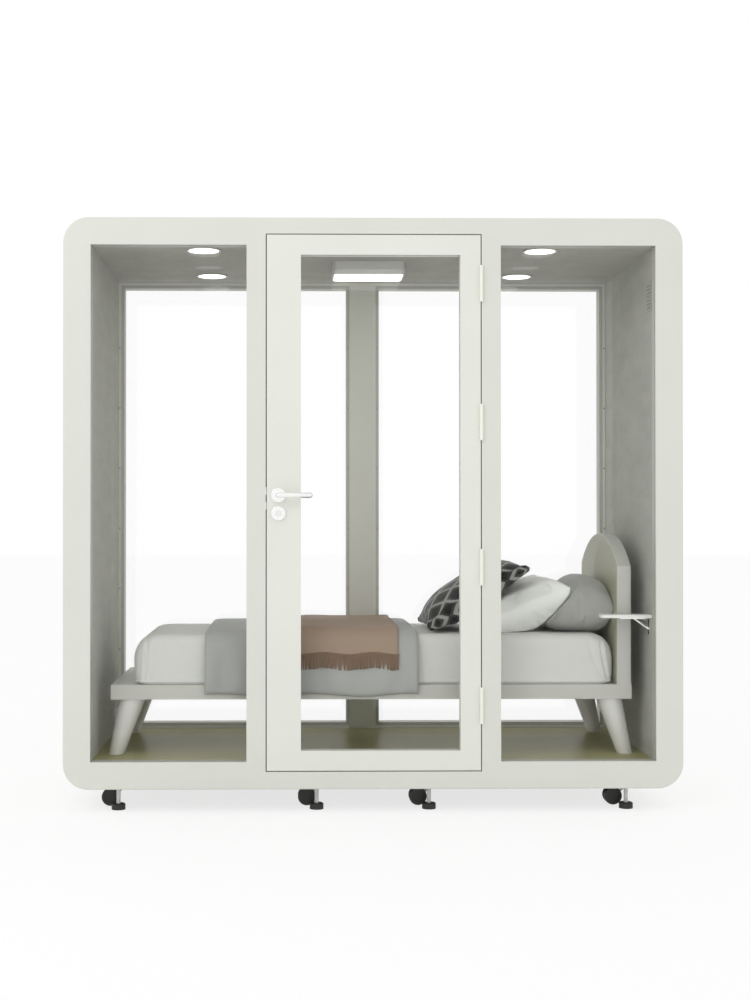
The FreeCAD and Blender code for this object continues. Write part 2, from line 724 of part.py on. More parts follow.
def levelling_foot(x, y):
    """Threaded rod on a round pad."""
    profile = [
        V(0, 0, 0),
        V(FOOT_PAD_RADIUS, 0, 0),
        V(FOOT_PAD_RADIUS, 0, FOOT_PAD_EDGE),
        V(FOOT_PAD_NECK_RADIUS, 0, FOOT_PAD_HEIGHT),
        V(FOOT_ROD_RADIUS, 0, FOOT_PAD_HEIGHT),
        V(FOOT_ROD_RADIUS, 0, FOOT_ROD_TOP),
        V(0, 0, FOOT_ROD_TOP),
    ]
    outline = Part.Face(Part.makePolygon(profile + profile[:1]))
    return outline.revolve(V(0, 0, 0), ALONG_Z, 360).translated(V(x, y, 0))


def caster_yoke(x, y):
    """Mounting plate, flared neck and swept arm that carries the axle."""
    half_plate = CASTER_PLATE / 2
    plate_bottom = CHASSIS_BOTTOM - CASTER_PLATE_THICKNESS
    plate = box(x - half_plate, x + half_plate, y - half_plate, y + half_plate, plate_bottom, CHASSIS_BOTTOM)
    neck_bottom = plate_bottom - YOKE_NECK_DROP
    neck_outline = [
        (x - YOKE_NECK_TOP / 2, plate_bottom),
        (x + YOKE_NECK_TOP / 2, plate_bottom),
        (x + YOKE_NECK_BOTTOM / 2, neck_bottom),
        (x - YOKE_NECK_BOTTOM / 2, neck_bottom),
    ]
    half_arm = YOKE_THICKNESS / 2
    neck = prism_xz(neck_outline, y - half_arm, y + half_arm)
    axle_x = x - CASTER_TRAIL
    arm_outline = [
        (x - YOKE_NECK_BOTTOM / 2, plate_bottom),
        (x + YOKE_NECK_BOTTOM / 2, neck_bottom),
        (axle_x, WHEEL_HEIGHT - YOKE_BOSS_RADIUS),
        (axle_x - YOKE_BOSS_RADIUS, WHEEL_HEIGHT),
    ]
    arm = prism_xz(arm_outline, y - half_arm, y + half_arm)
    boss = rod(YOKE_BOSS_RADIUS, V(axle_x, y - half_arm, WHEEL_HEIGHT), ALONG_Y, YOKE_THICKNESS)
    yoke = fuse([plate, neck, arm, boss])
    bore_start = V(axle_x, y - half_arm - OVERRUN, WHEEL_HEIGHT)
    return yoke.cut(rod(AXLE_RADIUS + RUNNING_CLEARANCE, bore_start, ALONG_Y, YOKE_THICKNESS + 2 * OVERRUN))


def caster_disc(x, y, outward):
    """One wheel disc: rounded tread and a dished outer face."""
    inner = YOKE_THICKNESS / 2 + YOKE_SIDE_GAP
    along = V(0, outward, 0)
    disc = rod(WHEEL_RADIUS, V(x, y + outward * inner, WHEEL_HEIGHT), along, WHEEL_WIDTH)
    rims = [edge for edge in disc.Edges if edge.Closed]
    disc = disc.makeFillet(WHEEL_EDGE_ROUNDING, rims)
    dish_start = V(x, y + outward * (inner + WHEEL_WIDTH - WHEEL_DISH_DEPTH), WHEEL_HEIGHT)
    return disc.cut(rod(WHEEL_DISH_RADIUS, dish_start, along, WHEEL_DISH_DEPTH + OVERRUN))


def caster_wheels(x, y):
    """Two wheel discs pressed on one axle, which turns in the yoke."""
    axle_x = x - CASTER_TRAIL
    half_axle = YOKE_THICKNESS / 2 + YOKE_SIDE_GAP + WHEEL_WIDTH - WHEEL_DISH_DEPTH
    axle = rod(AXLE_RADIUS, V(axle_x, y - half_axle, WHEEL_HEIGHT), ALONG_Y, 2 * half_axle)
    return fuse([axle, caster_disc(axle_x, y, -1), caster_disc(axle_x, y, 1)])


# Door leaf, hinges and lock
def spindle_bores(radius_lever, radius_thumb, y0, y1):
    """Cutters along the lever spindle and the thumb turn spindle."""
    lever = rod(radius_lever, V(SPINDLE_X, y0, LEVER_HEIGHT), ALONG_Y, y1 - y0)
    thumb = rod(radius_thumb, V(SPINDLE_X, y0, THUMB_HEIGHT), ALONG_Y, y1 - y0)
    return lever.fuse(thumb)


def lock_body(inset):
    """Block of the mortise lock, drawn in by a wall where it is hollow."""
    half = LOCK_CASE_THICKNESS / 2 - inset
    return box(
        LOCK_EDGE + inset,
        LOCK_EDGE + LOCK_CASE_LENGTH - inset,
        LOCK_MIDDLE_Y - half,
        LOCK_MIDDLE_Y + half,
        LOCK_BOTTOM + inset,
        LOCK_TOP - inset,
    )


def door_frame():
    """Door leaf: four-sided frame with the glazing rebate and the lock mortise."""
    leaf = slab(DOOR_LEAF, 0, DOOR_THICKNESS).cut(glazing_hole(DOOR_GLASS, 0, 1, DOOR_THICKNESS))
    leaf = leaf.cut(lock_body(0))
    room = SPINDLE_RADIUS + SPINDLE_ROOM
    return leaf.cut(spindle_bores(room, room, -OVERRUN, DOOR_THICKNESS + OVERRUN))


def bolt_block(height, x0, x1, half_height):
    """Straight length of a bolt inside the lock."""
    return box(
        x0,
        x1,
        LOCK_MIDDLE_Y - BOLT_WIDTH / 2,
        LOCK_MIDDLE_Y + BOLT_WIDTH / 2,
        height - half_height,
        height + half_height,
    )


def lock_case():
    """Hollow mortise case with bores for the spindles and windows for the two bolts."""
    case = lock_body(0).cut(lock_body(LOCK_CASE_WALL))
    bore = SPINDLE_RADIUS + RUNNING_CLEARANCE
    case = case.cut(spindle_bores(bore, bore, -OVERRUN, DOOR_THICKNESS + OVERRUN))
    half_width = BOLT_WIDTH / 2 + RUNNING_CLEARANCE
    half_height = BOLT_HEIGHT / 2 + RUNNING_CLEARANCE
    for height in (LATCH_HEIGHT, DEAD_BOLT_HEIGHT):
        window = box(
            LOCK_EDGE - OVERRUN,
            LOCK_EDGE + LOCK_CASE_WALL + OVERRUN,
            LOCK_MIDDLE_Y - half_width,
            LOCK_MIDDLE_Y + half_width,
            height - half_height,
            height + half_height,
        )
        case = case.cut(window)
    return case


def latch_bolt():
    """Spring latch: nose at the door edge and a tail with a lug that the follower draws back."""
    tip = LOCK_EDGE - BOLT_NOSE_REACH
    nose = bolt_block(LATCH_HEIGHT, tip, tip + LATCH_NOSE_LENGTH, BOLT_HEIGHT / 2)
    lug_start = SPINDLE_X + FOLLOWER_ARM_WIDTH / 2 + 2 * FIT
    tail_height = LATCH_HEIGHT + BOLT_HEIGHT / 2 - LATCH_TAIL_HEIGHT / 2
    tail = bolt_block(tail_height, tip + LATCH_NOSE_LENGTH, lug_start + LATCH_LUG, LATCH_TAIL_HEIGHT / 2)
    lug = bolt_block(LATCH_HEIGHT, lug_start, lug_start + LATCH_LUG, BOLT_HEIGHT / 2)
    return fuse([nose, tail, lug])


def dead_bolt():
    """Square bolt that the thumb turn throws into the jamb."""
    tip = LOCK_EDGE - BOLT_NOSE_REACH
    return bolt_block(DEAD_BOLT_HEIGHT, tip, tip + DEAD_BOLT_LENGTH, BOLT_HEIGHT / 2)


def rose(height, outward, bore_radius):
    """Round cover plate on one face of the door."""
    face = DOOR_THICKNESS if outward > 0 else 0
    along = V(0, outward, 0)
    plate = rod(ROSE_RADIUS, V(SPINDLE_X, face, height), along, ROSE_THICKNESS)
    front = face + outward * ROSE_THICKNESS
    rim = [edge for edge in plate.Edges if edge.Closed and abs(edge.CenterOfMass.y - front) < FIT]
    plate = plate.makeFillet(ROSE_ROUNDING, rim)
    bore_start = V(SPINDLE_X, face - outward * OVERRUN, height)
    return plate.cut(rod(bore_radius, bore_start, along, ROSE_THICKNESS + 2 * OVERRUN))


def door_roses():
    """Cover plates of the lever and of the lock, on both faces."""
    plates = []
    for outward in (-1, 1):
        plates.append(rose(LEVER_HEIGHT, outward, LEVER_RADIUS + RUNNING_CLEARANCE))
        plates.append(rose(THUMB_HEIGHT, outward, KEY_PLUG_RADIUS + RUNNING_CLEARANCE))
    return plates


def lever_arm(outward):
    """Neck, bent grip and rounded tip on one face of the door."""
    face = DOOR_THICKNESS if outward > 0 else 0
    grip_y = face + outward * LEVER_STANDOFF
    neck = rod(LEVER_RADIUS, V(SPINDLE_X, face, LEVER_HEIGHT), V(0, outward, 0), LEVER_STANDOFF)
    elbow = Part.makeSphere(LEVER_RADIUS, V(SPINDLE_X, grip_y, LEVER_HEIGHT))
    grip_length = LEVER_LENGTH - LEVER_RADIUS
    grip = rod(LEVER_RADIUS, V(SPINDLE_X, grip_y, LEVER_HEIGHT), ALONG_X, grip_length)
    tip = Part.makeSphere(LEVER_RADIUS, V(SPINDLE_X + grip_length, grip_y, LEVER_HEIGHT))
    return [neck, elbow, grip, tip]


def lever_handle():
    """Inside and outside levers on one spindle, with the follower that draws the latch."""
    spindle = rod(SPINDLE_RADIUS, V(SPINDLE_X, 0, LEVER_HEIGHT), ALONG_Y, DOOR_THICKNESS)
    half = BOLT_WIDTH / 2
    hub = rod(FOLLOWER_RADIUS, V(SPINDLE_X, LOCK_MIDDLE_Y - half, LEVER_HEIGHT), ALONG_Y, BOLT_WIDTH)
    arm = box(
        SPINDLE_X - FOLLOWER_ARM_WIDTH / 2,
        SPINDLE_X + FOLLOWER_ARM_WIDTH / 2,
        LOCK_MIDDLE_Y - half,
        LOCK_MIDDLE_Y + half,
        LEVER_HEIGHT,
        LEVER_HEIGHT + FOLLOWER_ARM_REACH,
    )
    return fuse([spindle, hub, arm] + lever_arm(-1) + lever_arm(1))


def thumb_turn():
    """Key plug outside, cam in the lock and thumb grip inside, on one spindle."""
    start = V(SPINDLE_X, -ROSE_THICKNESS, THUMB_HEIGHT)
    plug = rod(KEY_PLUG_RADIUS, start, ALONG_Y, ROSE_THICKNESS)
    spindle = rod(SPINDLE_RADIUS, V(SPINDLE_X, 0, THUMB_HEIGHT), ALONG_Y, DOOR_THICKNESS)
    cam = rod(CAM_RADIUS, V(SPINDLE_X, LOCK_MIDDLE_Y - BOLT_WIDTH / 2, THUMB_HEIGHT), ALONG_Y, BOLT_WIDTH)
    disc = rod(KEY_PLUG_RADIUS, V(SPINDLE_X, DOOR_THICKNESS, THUMB_HEIGHT), ALONG_Y, ROSE_THICKNESS)
    grip_front = DOOR_THICKNESS + ROSE_THICKNESS
    grip = rounded_slab(
        (
            SPINDLE_X - THUMB_WIDTH / 2,
            SPINDLE_X + THUMB_WIDTH / 2,
            THUMB_HEIGHT - THUMB_LENGTH / 2,
            THUMB_HEIGHT + THUMB_LENGTH / 2,
        ),
        THUMB_ROUNDING,
        grip_front,
        grip_front + THUMB_REACH,
    )
    key_slot = box(
        SPINDLE_X - KEY_SLOT_WIDTH / 2,
        SPINDLE_X + KEY_SLOT_WIDTH / 2,
        -ROSE_THICKNESS - OVERRUN,
        -ROSE_THICKNESS + KEY_SLOT_DEPTH,
        THUMB_HEIGHT - KEY_SLOT_LENGTH / 2,
        THUMB_HEIGHT + KEY_SLOT_LENGTH / 2,
    )
    return fuse([plug, spindle, cam, disc, grip]).cut(key_slot)


def hinge_knuckle(bottom, top):
    """Half of a hinge barrel."""
    return rod(HINGE_RADIUS, V(HINGE_AXIS_X, HINGE_AXIS_Y, bottom), ALONG_Z, top - bottom)


def hinge_plate(x0, x1, middle, low, high):
    """Leaf in the door gap, joined to its own half of the barrel."""
    plate = box(x0, x1, FIT, HINGE_LEAF_REACH, middle - HINGE_LENGTH / 2, middle + HINGE_LENGTH / 2)
    neck = box(x0, x1, HINGE_AXIS_Y, FIT, low, high)
    return plate.fuse(neck)


def hinge_frame_leaf(middle):
    """Lower half of a lift-off hinge: leaf on the jamb, lower knuckle and the pin."""
    low = middle - HINGE_LENGTH / 2
    jamb = DOOR_OPENING[1]
    leaf = hinge_plate(jamb - HINGE_LEAF, jamb, middle, low, middle - FIT)
    knuckle = hinge_knuckle(low, middle - FIT)
    pin_length = HINGE_LENGTH / 2 - HINGE_PIN_CAP
    pin = rod(HINGE_PIN_RADIUS, V(HINGE_AXIS_X, HINGE_AXIS_Y, middle - FIT), ALONG_Z, pin_length)
    return fuse([leaf, knuckle, pin])


def hinge_door_leaf(middle):
    """Upper half of a lift-off hinge: leaf on the door edge and the bored, capped knuckle."""
    high = middle + HINGE_LENGTH / 2
    edge = DOOR_LEAF[1]
    leaf = hinge_plate(edge, edge + HINGE_LEAF, middle, middle, high)
    knuckle = hinge_knuckle(middle, high)
    bore_start = V(HINGE_AXIS_X, HINGE_AXIS_Y, middle - OVERRUN)
    bore_length = HINGE_LENGTH / 2 - HINGE_PIN_CAP + OVERRUN
    bore = rod(HINGE_PIN_RADIUS + RUNNING_CLEARANCE, bore_start, ALONG_Z, bore_length)
    return fuse([leaf, knuckle]).cut(bore)


# Lights
def downlight_trim(x, y):
    """Ring flange under the ceiling with a shallow can above it, open below."""
    flange_bottom = CEILING - DOWNLIGHT_FLANGE
    flange = rod(DOWNLIGHT_RADIUS, V(x, y, flange_bottom), ALONG_Z, DOWNLIGHT_FLANGE)
    can = rod(downlight_can_radius(), V(x, y, CEILING), ALONG_Z, DOWNLIGHT_CAN_HEIGHT)
    hollow_height = DOWNLIGHT_FLANGE + DOWNLIGHT_CAN_HEIGHT - DOWNLIGHT_CAN_WALL
    hollow = rod(DOWNLIGHT_LENS_RADIUS, V(x, y, flange_bottom - OVERRUN), ALONG_Z, hollow_height + OVERRUN)
    return fuse([flange, can]).cut(hollow)


def downlight_lens(x, y):
    """Opal disc flush with the flange."""
    return rod(DOWNLIGHT_LENS_RADIUS, V(x, y, CEILING - DOWNLIGHT_FLANGE), ALONG_Z, LENS_THICKNESS)


def light_box_block(inset, bottom, top):
    """Block with the plan of the ceiling light box, its corners rounded, drawn in by an inset."""
    half = LIGHT_BOX_WIDTH / 2 - inset
    front = INSIDE_FRONT + LIGHT_BOX_FRONT_SETBACK
    block = box(-half, half, front + inset, front + LIGHT_BOX_DEPTH - inset, bottom, top)
    return block.makeFillet(LIGHT_BOX_CORNER - inset, upright_edges(block))


def light_box():
    """Shallow housing fixed under the ceiling, open below."""
    bottom = CEILING - LIGHT_BOX_HEIGHT
    shell = light_box_block(0, bottom, CEILING)
    return shell.cut(light_box_block(LIGHT_BOX_WALL, bottom - OVERRUN, CEILING - LIGHT_BOX_WALL))


def light_diffuser():
    """Opal sheet that closes the light box."""
    bottom = CEILING - LIGHT_BOX_HEIGHT
    return light_box_block(LIGHT_BOX_WALL, bottom, bottom + DIFFUSER)


# Ventilation
def vent_grille():
    """Perforated plate on the right wall panel."""
    face = INNER_HALF_WIDTH - GRILLE_THICKNESS
    plate = box(
        face,
        INNER_HALF_WIDTH,
        VENT_Y - GRILLE_WIDTH / 2,
        VENT_Y + GRILLE_WIDTH / 2,
        VENT_HEIGHT - GRILLE_HEIGHT / 2,
        VENT_HEIGHT + GRILLE_HEIGHT / 2,
    )
    column_pitch = GRILLE_WIDTH / (GRILLE_COLUMNS + 1)
    row_pitch = GRILLE_HEIGHT / (GRILLE_ROWS + 1)
    for column in range(GRILLE_COLUMNS):
        for row in range(GRILLE_ROWS):
            y = VENT_Y - GRILLE_WIDTH / 2 + (column + 1) * column_pitch
            z = VENT_HEIGHT - GRILLE_HEIGHT / 2 + (row + 1) * row_pitch
            start = V(face - OVERRUN, y, z)
            plate = plate.cut(rod(GRILLE_HOLE_RADIUS, start, ALONG_X, GRILLE_THICKNESS + 2 * OVERRUN))
    return plate


def fan_housing():
    """Square fan body with a round duct, a spider at its back and the pin for the rotor."""
    half = FAN_SIZE / 2
    start = PANEL_BACK
    back = start + FAN_DEPTH
    body = box(start, back, VENT_Y - half, VENT_Y + half, VENT_HEIGHT - half, VENT_HEIGHT + half)
    duct = rod(half - FAN_WALL, vent_axis_start(start - OVERRUN), ALONG_X, FAN_DEPTH + 2 * OVERRUN)
    spider_start = back - FAN_SPIDER
    cup = rod(FAN_HUB_RADIUS, vent_axis_start(spider_start), ALONG_X, FAN_SPIDER)
    thin = FAN_SPIDER / 2
    low, high = VENT_HEIGHT - half, VENT_HEIGHT + half
    level_arm = box(spider_start, back, VENT_Y - half, VENT_Y + half, VENT_HEIGHT - thin, VENT_HEIGHT + thin)
    upright_arm = box(spider_start, back, VENT_Y - thin, VENT_Y + thin, low, high)
    pin_start = spider_start - FAN_HUB_LENGTH + FAN_SPIDER
    pin = rod(FAN_PIN_RADIUS, vent_axis_start(pin_start), ALONG_X, FAN_HUB_LENGTH)
    return fuse([body.cut(duct), cup, level_arm, upright_arm, pin])


def fan_blade_section(radius, pitch_degrees):
    """Thin rectangle across a blade at one radius, turned to its pitch."""
    half_chord = FAN_BLADE_CHORD / 2
    half = FAN_BLADE_THICKNESS / 2
    pitch = math.radians(pitch_degrees)
    corners = []
    for along, across in ((-half_chord, -half), (half_chord, -half), (half_chord, half), (-half_chord, half)):
        x = along * math.sin(pitch) + across * math.cos(pitch)
        y = along * math.cos(pitch) - across * math.sin(pitch)
        corners.append(V(x, y, radius))
    return Part.makePolygon(corners + corners[:1])


def fan_rotor():
    """Hub with twisted blades, turning on the housing's pin."""
    spider_start = PANEL_BACK + FAN_DEPTH - FAN_SPIDER
    hub_start = spider_start - FIT - FAN_HUB_LENGTH
    hub = rod(FAN_HUB_RADIUS, vent_axis_start(hub_start), ALONG_X, FAN_HUB_LENGTH)
    tip_radius = FAN_SIZE / 2 - FAN_WALL - FAN_TIP_GAP
    root_radius = FAN_HUB_RADIUS / math.sqrt(2)
    root = fan_blade_section(root_radius, FAN_ROOT_PITCH_DEGREES)
    tip = fan_blade_section(tip_radius, FAN_TIP_PITCH_DEGREES)
    blade = Part.makeLoft([root, tip], True, True)
    blade = blade.translated(vent_axis_start(hub_start + FAN_HUB_LENGTH / 2))
    pieces = [hub]
    for number in range(FAN_BLADES):
        turned = blade.copy()
        turned.rotate(vent_axis_start(hub_start), ALONG_X, 360.0 * number / FAN_BLADES)
        pieces.append(turned)
    start = vent_axis_start(hub_start - OVERRUN)
    bore = rod(FAN_PIN_RADIUS + RUNNING_CLEARANCE, start, ALONG_X, FAN_HUB_LENGTH + 2 * OVERRUN)
    return fuse(pieces).cut(bore)


def power_inlet():
    """Square plate on the right outer wall with a bored spout that slopes down and out."""
    half = INLET_PLATE / 2
    plate_face = HALF_WIDTH + INLET_PLATE_THICKNESS
    plate_window = (INLET_Y - half, INLET_Y + half, INLET_HEIGHT - half, INLET_HEIGHT + half)
    plate = box(HALF_WIDTH, plate_face, *plate_window)
    slope = math.radians(INLET_SLOPE_DEGREES)
    along = V(math.cos(slope), 0, -math.sin(slope))
    root = V(HALF_WIDTH - INLET_SPOUT_RADIUS, INLET_Y, INLET_HEIGHT)
    length = 2 * INLET_REACH + INLET_SPOUT_RADIUS
    tip = HALF_WIDTH + INLET_REACH
    outside = box(HALF_WIDTH, tip, INLET_Y - half, INLET_Y + half, 0, INLET_HEIGHT + half)
    spout = rod(INLET_SPOUT_RADIUS, root, along, length).common(outside)
    bore = rod(INLET_BORE_RADIUS, root, along, length).common(outside)
    return fuse([plate, spout]).cut(bore)


# Shelf
def shelf_board():
    """Small shelf on the right wall with its two free corners rounded."""
    tip = INNER_HALF_WIDTH - SHELF_REACH
    board = box(tip, INNER_HALF_WIDTH, SHELF_FRONT, SHELF_BACK, SHELF_TOP - SHELF_THICKNESS, SHELF_TOP)
    corners = [edge for edge in upright_edges(board) if abs(edge.CenterOfMass.x - tip) < FIT]
    return board.makeFillet(SHELF_CORNER_RADIUS, corners)


def shelf_bracket():
    """Wall leg, arm under the board and a sloping strut between them."""
    middle = (SHELF_FRONT + SHELF_BACK) / 2
    half = BRACKET_WIDTH / 2
    top = SHELF_TOP - SHELF_THICKNESS
    wall = INNER_HALF_WIDTH
    leg = box(wall - BRACKET_THICKNESS, wall, middle - half, middle + half, top - BRACKET_DROP, top)
    arm = box(wall - BRACKET_ARM, wall, middle - half, middle + half, top - BRACKET_THICKNESS, top)
    start = V(wall - BRACKET_ARM / 2, middle, top - BRACKET_THICKNESS)
    end = V(wall - BRACKET_THICKNESS, middle, top - BRACKET_DROP * STRUT_DROP_SHARE)
    run = end - start
    strut = rod(STRUT_RADIUS, start, run, run.Length)
    return fuse([leg, arm, strut])


# Bed
def bed_frame():
    """Four rail boards, a wide board across the foot end and the slats, all level on top."""
    left = -BED_HALF_LENGTH + BED_BOARD
    right = BED_HALF_LENGTH - BED_BOARD
    front = BED_FRONT + BED_BOARD
    back = BED_BACK - BED_BOARD
    outer = box(-BED_HALF_LENGTH, BED_HALF_LENGTH, BED_FRONT, BED_BACK, BED_RAIL_BOTTOM, BED_RAIL_TOP)
    inner = box(left, right, front, back, BED_RAIL_BOTTOM - OVERRUN, BED_RAIL_TOP + OVERRUN)
    slat_bottom = BED_RAIL_TOP - SLAT_THICKNESS
    first = -BED_HALF_LENGTH + BED_FOOT_BOARD
    pieces = [outer.cut(inner), box(left, first, front, back, slat_bottom, BED_RAIL_TOP)]
    pitch = (right - first) / SLAT_COUNT
    for number in range(SLAT_COUNT):
        middle = first + (2 * number + 1) * pitch / 2
        slat_ends = (middle - SLAT_WIDTH / 2, middle + SLAT_WIDTH / 2)
        pieces.append(box(*slat_ends, front, back, slat_bottom, BED_RAIL_TOP))
    return fuse(pieces)


def bed_leg(side, y):
    """Round tapered leg that splays out towards the end of the bed."""
    top_x = side * (BED_HALF_LENGTH - LEG_TOP_INSET)
    head = Part.makeCircle(LEG_TOP / 2, V(top_x, y, BED_RAIL_BOTTOM))
    foot = Part.makeCircle(LEG_FOOT / 2, V(top_x + side * LEG_SPLAY, y, FLOOR_TOP))
    return Part.makeLoft([Part.Wire(head), Part.Wire(foot)], True, True)


def bed_legs():
    """Four legs under the rails."""
    rows = (BED_FRONT + LEG_SIDE_INSET, BED_BACK - LEG_SIDE_INSET)
    return [bed_leg(side, y) for side in (-1, 1) for y in rows]


def headboard():
    """Upright board with straight sides and a bowed top."""
    side_top = BED_RAIL_TOP + HEADBOARD_SIDE_RISE
    corners = [
        V(HEADBOARD_FACE, BED_FRONT, side_top),
        V(HEADBOARD_FACE, BED_FRONT, BED_RAIL_TOP),
        V(HEADBOARD_FACE, BED_BACK, BED_RAIL_TOP),
        V(HEADBOARD_FACE, BED_BACK, side_top),
    ]
    crown = V(HEADBOARD_FACE, BED_MIDDLE_Y, BED_RAIL_TOP + HEADBOARD_RISE)
    bow = Part.Arc(corners[-1], crown, corners[0]).toShape()
    outline = Part.Wire(Part.makePolygon(corners).Edges + [bow])
    board = Part.Face(outline).extrude(V(HEADBOARD_THICKNESS, 0, 0))
    middle_x = HEADBOARD_FACE + HEADBOARD_THICKNESS / 2
    rims = edges_at(board, lambda p: abs(p.x - middle_x) > FIT and p.z > BED_RAIL_TOP + FIT)
    return board.makeFillet(HEADBOARD_ROUNDING, rims)


# Soft pieces
def drawn_in_outline(half_length, half_width, draw, z):
    """Four-sided outline whose sides curve in between the corners."""
    corners = [V(half_length, half_width, z), V(-half_length, half_width, z),
               V(-half_length, -half_width, z), V(half_length, -half_width, z)]
    middles = [V(0, half_width - draw, z), V(-half_length + draw, 0, z),
               V(0, -half_width + draw, z), V(half_length - draw, 0, z)]
    edges = []
    for number, middle in enumerate(middles):
        following = corners[(number + 1) % len(corners)]
        edges.append(Part.Arc(corners[number], middle, following).toShape())
    return Part.Wire(edges)


def rounded_outline(half_length, half_width, corner, z):
    """Level rectangle with rounded corners."""
    diagonal = corner / math.sqrt(2)
    arcs = []
    for across, along in ((1, 1), (-1, 1), (-1, -1), (1, -1)):
        centre = V(across * (half_length - corner), along * (half_width - corner), z)
        middle = centre + V(across * diagonal, along * diagonal, 0)
        on_end = centre + V(across * corner, 0, 0)
        on_side = centre + V(0, along * corner, 0)
        arcs.append((on_end, middle, on_side) if across * along > 0 else (on_side, middle, on_end))
    edges = []
    for number, (start, middle, end) in enumerate(arcs):
        following = arcs[(number + 1) % len(arcs)][0]
        edges.append(Part.Arc(start, middle, end).toShape())
        edges.append(Part.makeLine(end, following))
    return Part.Wire(edges)


def mattress():
    """Thick pad with rounded corners, soft shoulders along the sides and rounder ends."""
    right = HEADBOARD_FACE - MATTRESS_HEAD_GAP
    half_length = (right - MATTRESS_LEFT) / 2
    half_width = (BED_BACK - BED_FRONT) / 2 - MATTRESS_SIDE_GAP
    middle = V((MATTRESS_LEFT + right) / 2, BED_MIDDLE_Y, 0)
    shoulder = MATTRESS_SHOULDER
    levels = [(MATTRESS_BOTTOM + rise * shoulder, *insets) for rise, *insets in MATTRESS_LOWER_SHARES]
    levels += [(MATTRESS_TOP - drop * shoulder, *insets) for drop, *insets in MATTRESS_UPPER_SHARES]
    sections = []
    for z, side_share, end_share in levels:
        length = half_length - end_share * shoulder
        width = half_width - side_share * shoulder
        sections.append(rounded_outline(length, width, MATTRESS_CORNER, z))
    return Part.makeLoft(sections, True, True).translated(middle)


def fold_line(x0, x1, y, z, folds, depth):
    """Row of arcs that swing to and fro about a line across the bed."""
    step = (x1 - x0) / folds
    edges = []
    for number in range(folds):
        start = V(x0 + number * step, y, z)
        end = V(x0 + (number + 1) * step, y, z)
        swing = depth if number % 2 else -depth
        middle = V(x0 + number * step + step / 2, y + swing, z)
        edges.append(Part.Arc(start, middle, end).toShape())
    return edges


def cloth_section(x0, x1, y, z, folds, depth, thickness):
    """Closed outline across hanging cloth: a folded line and its copy a thickness behind."""
    outer = fold_line(x0, x1, y, z, folds, depth)
    inner = fold_line(x0, x1, y + thickness, z, folds, depth)
    first_end = Part.makeLine(V(x0, y, z), V(x0, y + thickness, z))
    last_end = Part.makeLine(V(x1, y, z), V(x1, y + thickness, z))
    return Part.Wire(Part.__sortEdges__(outer + [last_end] + inner + [first_end]))


def hanging_cloth(x0, x1, face, outward, thickness, top, hem, folds, depth):
    """Folds that hang from a straight edge and deepen towards the hem."""
    outer_top = face + outward * thickness if outward < 0 else face
    outer_hem = outer_top + outward * depth
    head = cloth_section(x0, x1, outer_top, top, folds, SLIGHT_FOLD, thickness)
    foot = cloth_section(x0, x1, outer_hem, hem, folds, depth, thickness)
    return Part.makeLoft([head, foot], True, True)


def drape(x0, x1, front, back, bed_top, thickness, shoulder_drop, hang, folds, depth):
    """Cloth laid across the bed: a rounded top layer and folds down the front and the back."""
    top = bed_top + thickness
    shoulder = bed_top - shoulder_drop
    hem = bed_top - hang
    layer = box(x0, x1, front - thickness, back + thickness, shoulder, top)
    hollow = box(x0 - OVERRUN, x1 + OVERRUN, front, back, shoulder - OVERRUN, bed_top)
    layer = layer.cut(hollow)
    outer = (front - thickness, back + thickness)
    crests = edges_at(layer, lambda p: abs(p.z - top) < FIT and min(abs(p.y - y) for y in outer) < FIT)
    layer = layer.makeFillet(thickness, crests)
    front_folds = hanging_cloth(x0, x1, front, -1, thickness, shoulder, hem, folds, depth)
    back_folds = hanging_cloth(x0, x1, back, 1, thickness, shoulder, hem, folds, depth)
    return fuse([layer, front_folds, back_folds])


def blanket():
    """Padded blanket over the mattress, hanging past the rails."""
    front = BED_FRONT - FIT - SLIGHT_FOLD
    back = BED_BACK + FIT + SLIGHT_FOLD
    return drape(BLANKET_LEFT, BLANKET_RIGHT, front, back, MATTRESS_TOP + FIT, BLANKET_THICKNESS,
                 BLANKET_SHOULDER_DROP, BLANKET_HANG, BLANKET_FOLDS, BLANKET_FOLD_DEPTH)


def throw():
    """Thin throw across the blanket, clear of its folds."""
    room = BLANKET_THICKNESS + 2 * BLANKET_FOLD_DEPTH + 2 * FIT + 2 * SLIGHT_FOLD
    front = BED_FRONT - room
    back = BED_BACK + room
    bed_top = MATTRESS_TOP + BLANKET_THICKNESS + 2 * FIT
    return drape(THROW_LEFT, THROW_RIGHT, front, back, bed_top, THROW_THICKNESS,
                 THROW_SHOULDER_DROP, THROW_HANG, THROW_FOLDS, THROW_FOLD_DEPTH)


def pillow_half(length, width, thickness, upward):
    """One crowned half of a pillow, from the seam to the crown."""
    draw = length * PILLOW_DRAW_SHARE
    sections = []
    for height_share, size_share in PILLOW_PROFILE_SHARES:
        z = upward * height_share * thickness / 2
        sections.append(
            drawn_in_outline(length * size_share / 2, width * size_share / 2, draw * size_share, z)
        )
    return Part.makeLoft(sections, True, False)


def pillow(length, width, thickness, tilt_degrees):
    """Crowned pillow with drawn-in sides, leaning back, resting on the mattress near its front edge."""
    solid = pillow_half(length, width, thickness, 1).fuse(pillow_half(length, width, thickness, -1))
    solid.rotate(V(0, 0, 0), ALONG_Y, -tilt_degrees)
    front = BED_FRONT + MATTRESS_SIDE_GAP + PILLOW_FRONT_SETBACK
    rise = MATTRESS_TOP + FIT + reach(solid, -ALONG_Z)
    return solid.translated(V(0, front + width / 2, rise))


def rear_pillow():
    """Steep pillow against the headboard."""
    solid = pillow(REAR_PILLOW_LENGTH, PILLOW_WIDTH, REAR_PILLOW_THICKNESS, REAR_PILLOW_TILT_DEGREES)
    return solid.translated(V(HEADBOARD_FACE - FIT - reach(solid, ALONG_X), 0, 0))


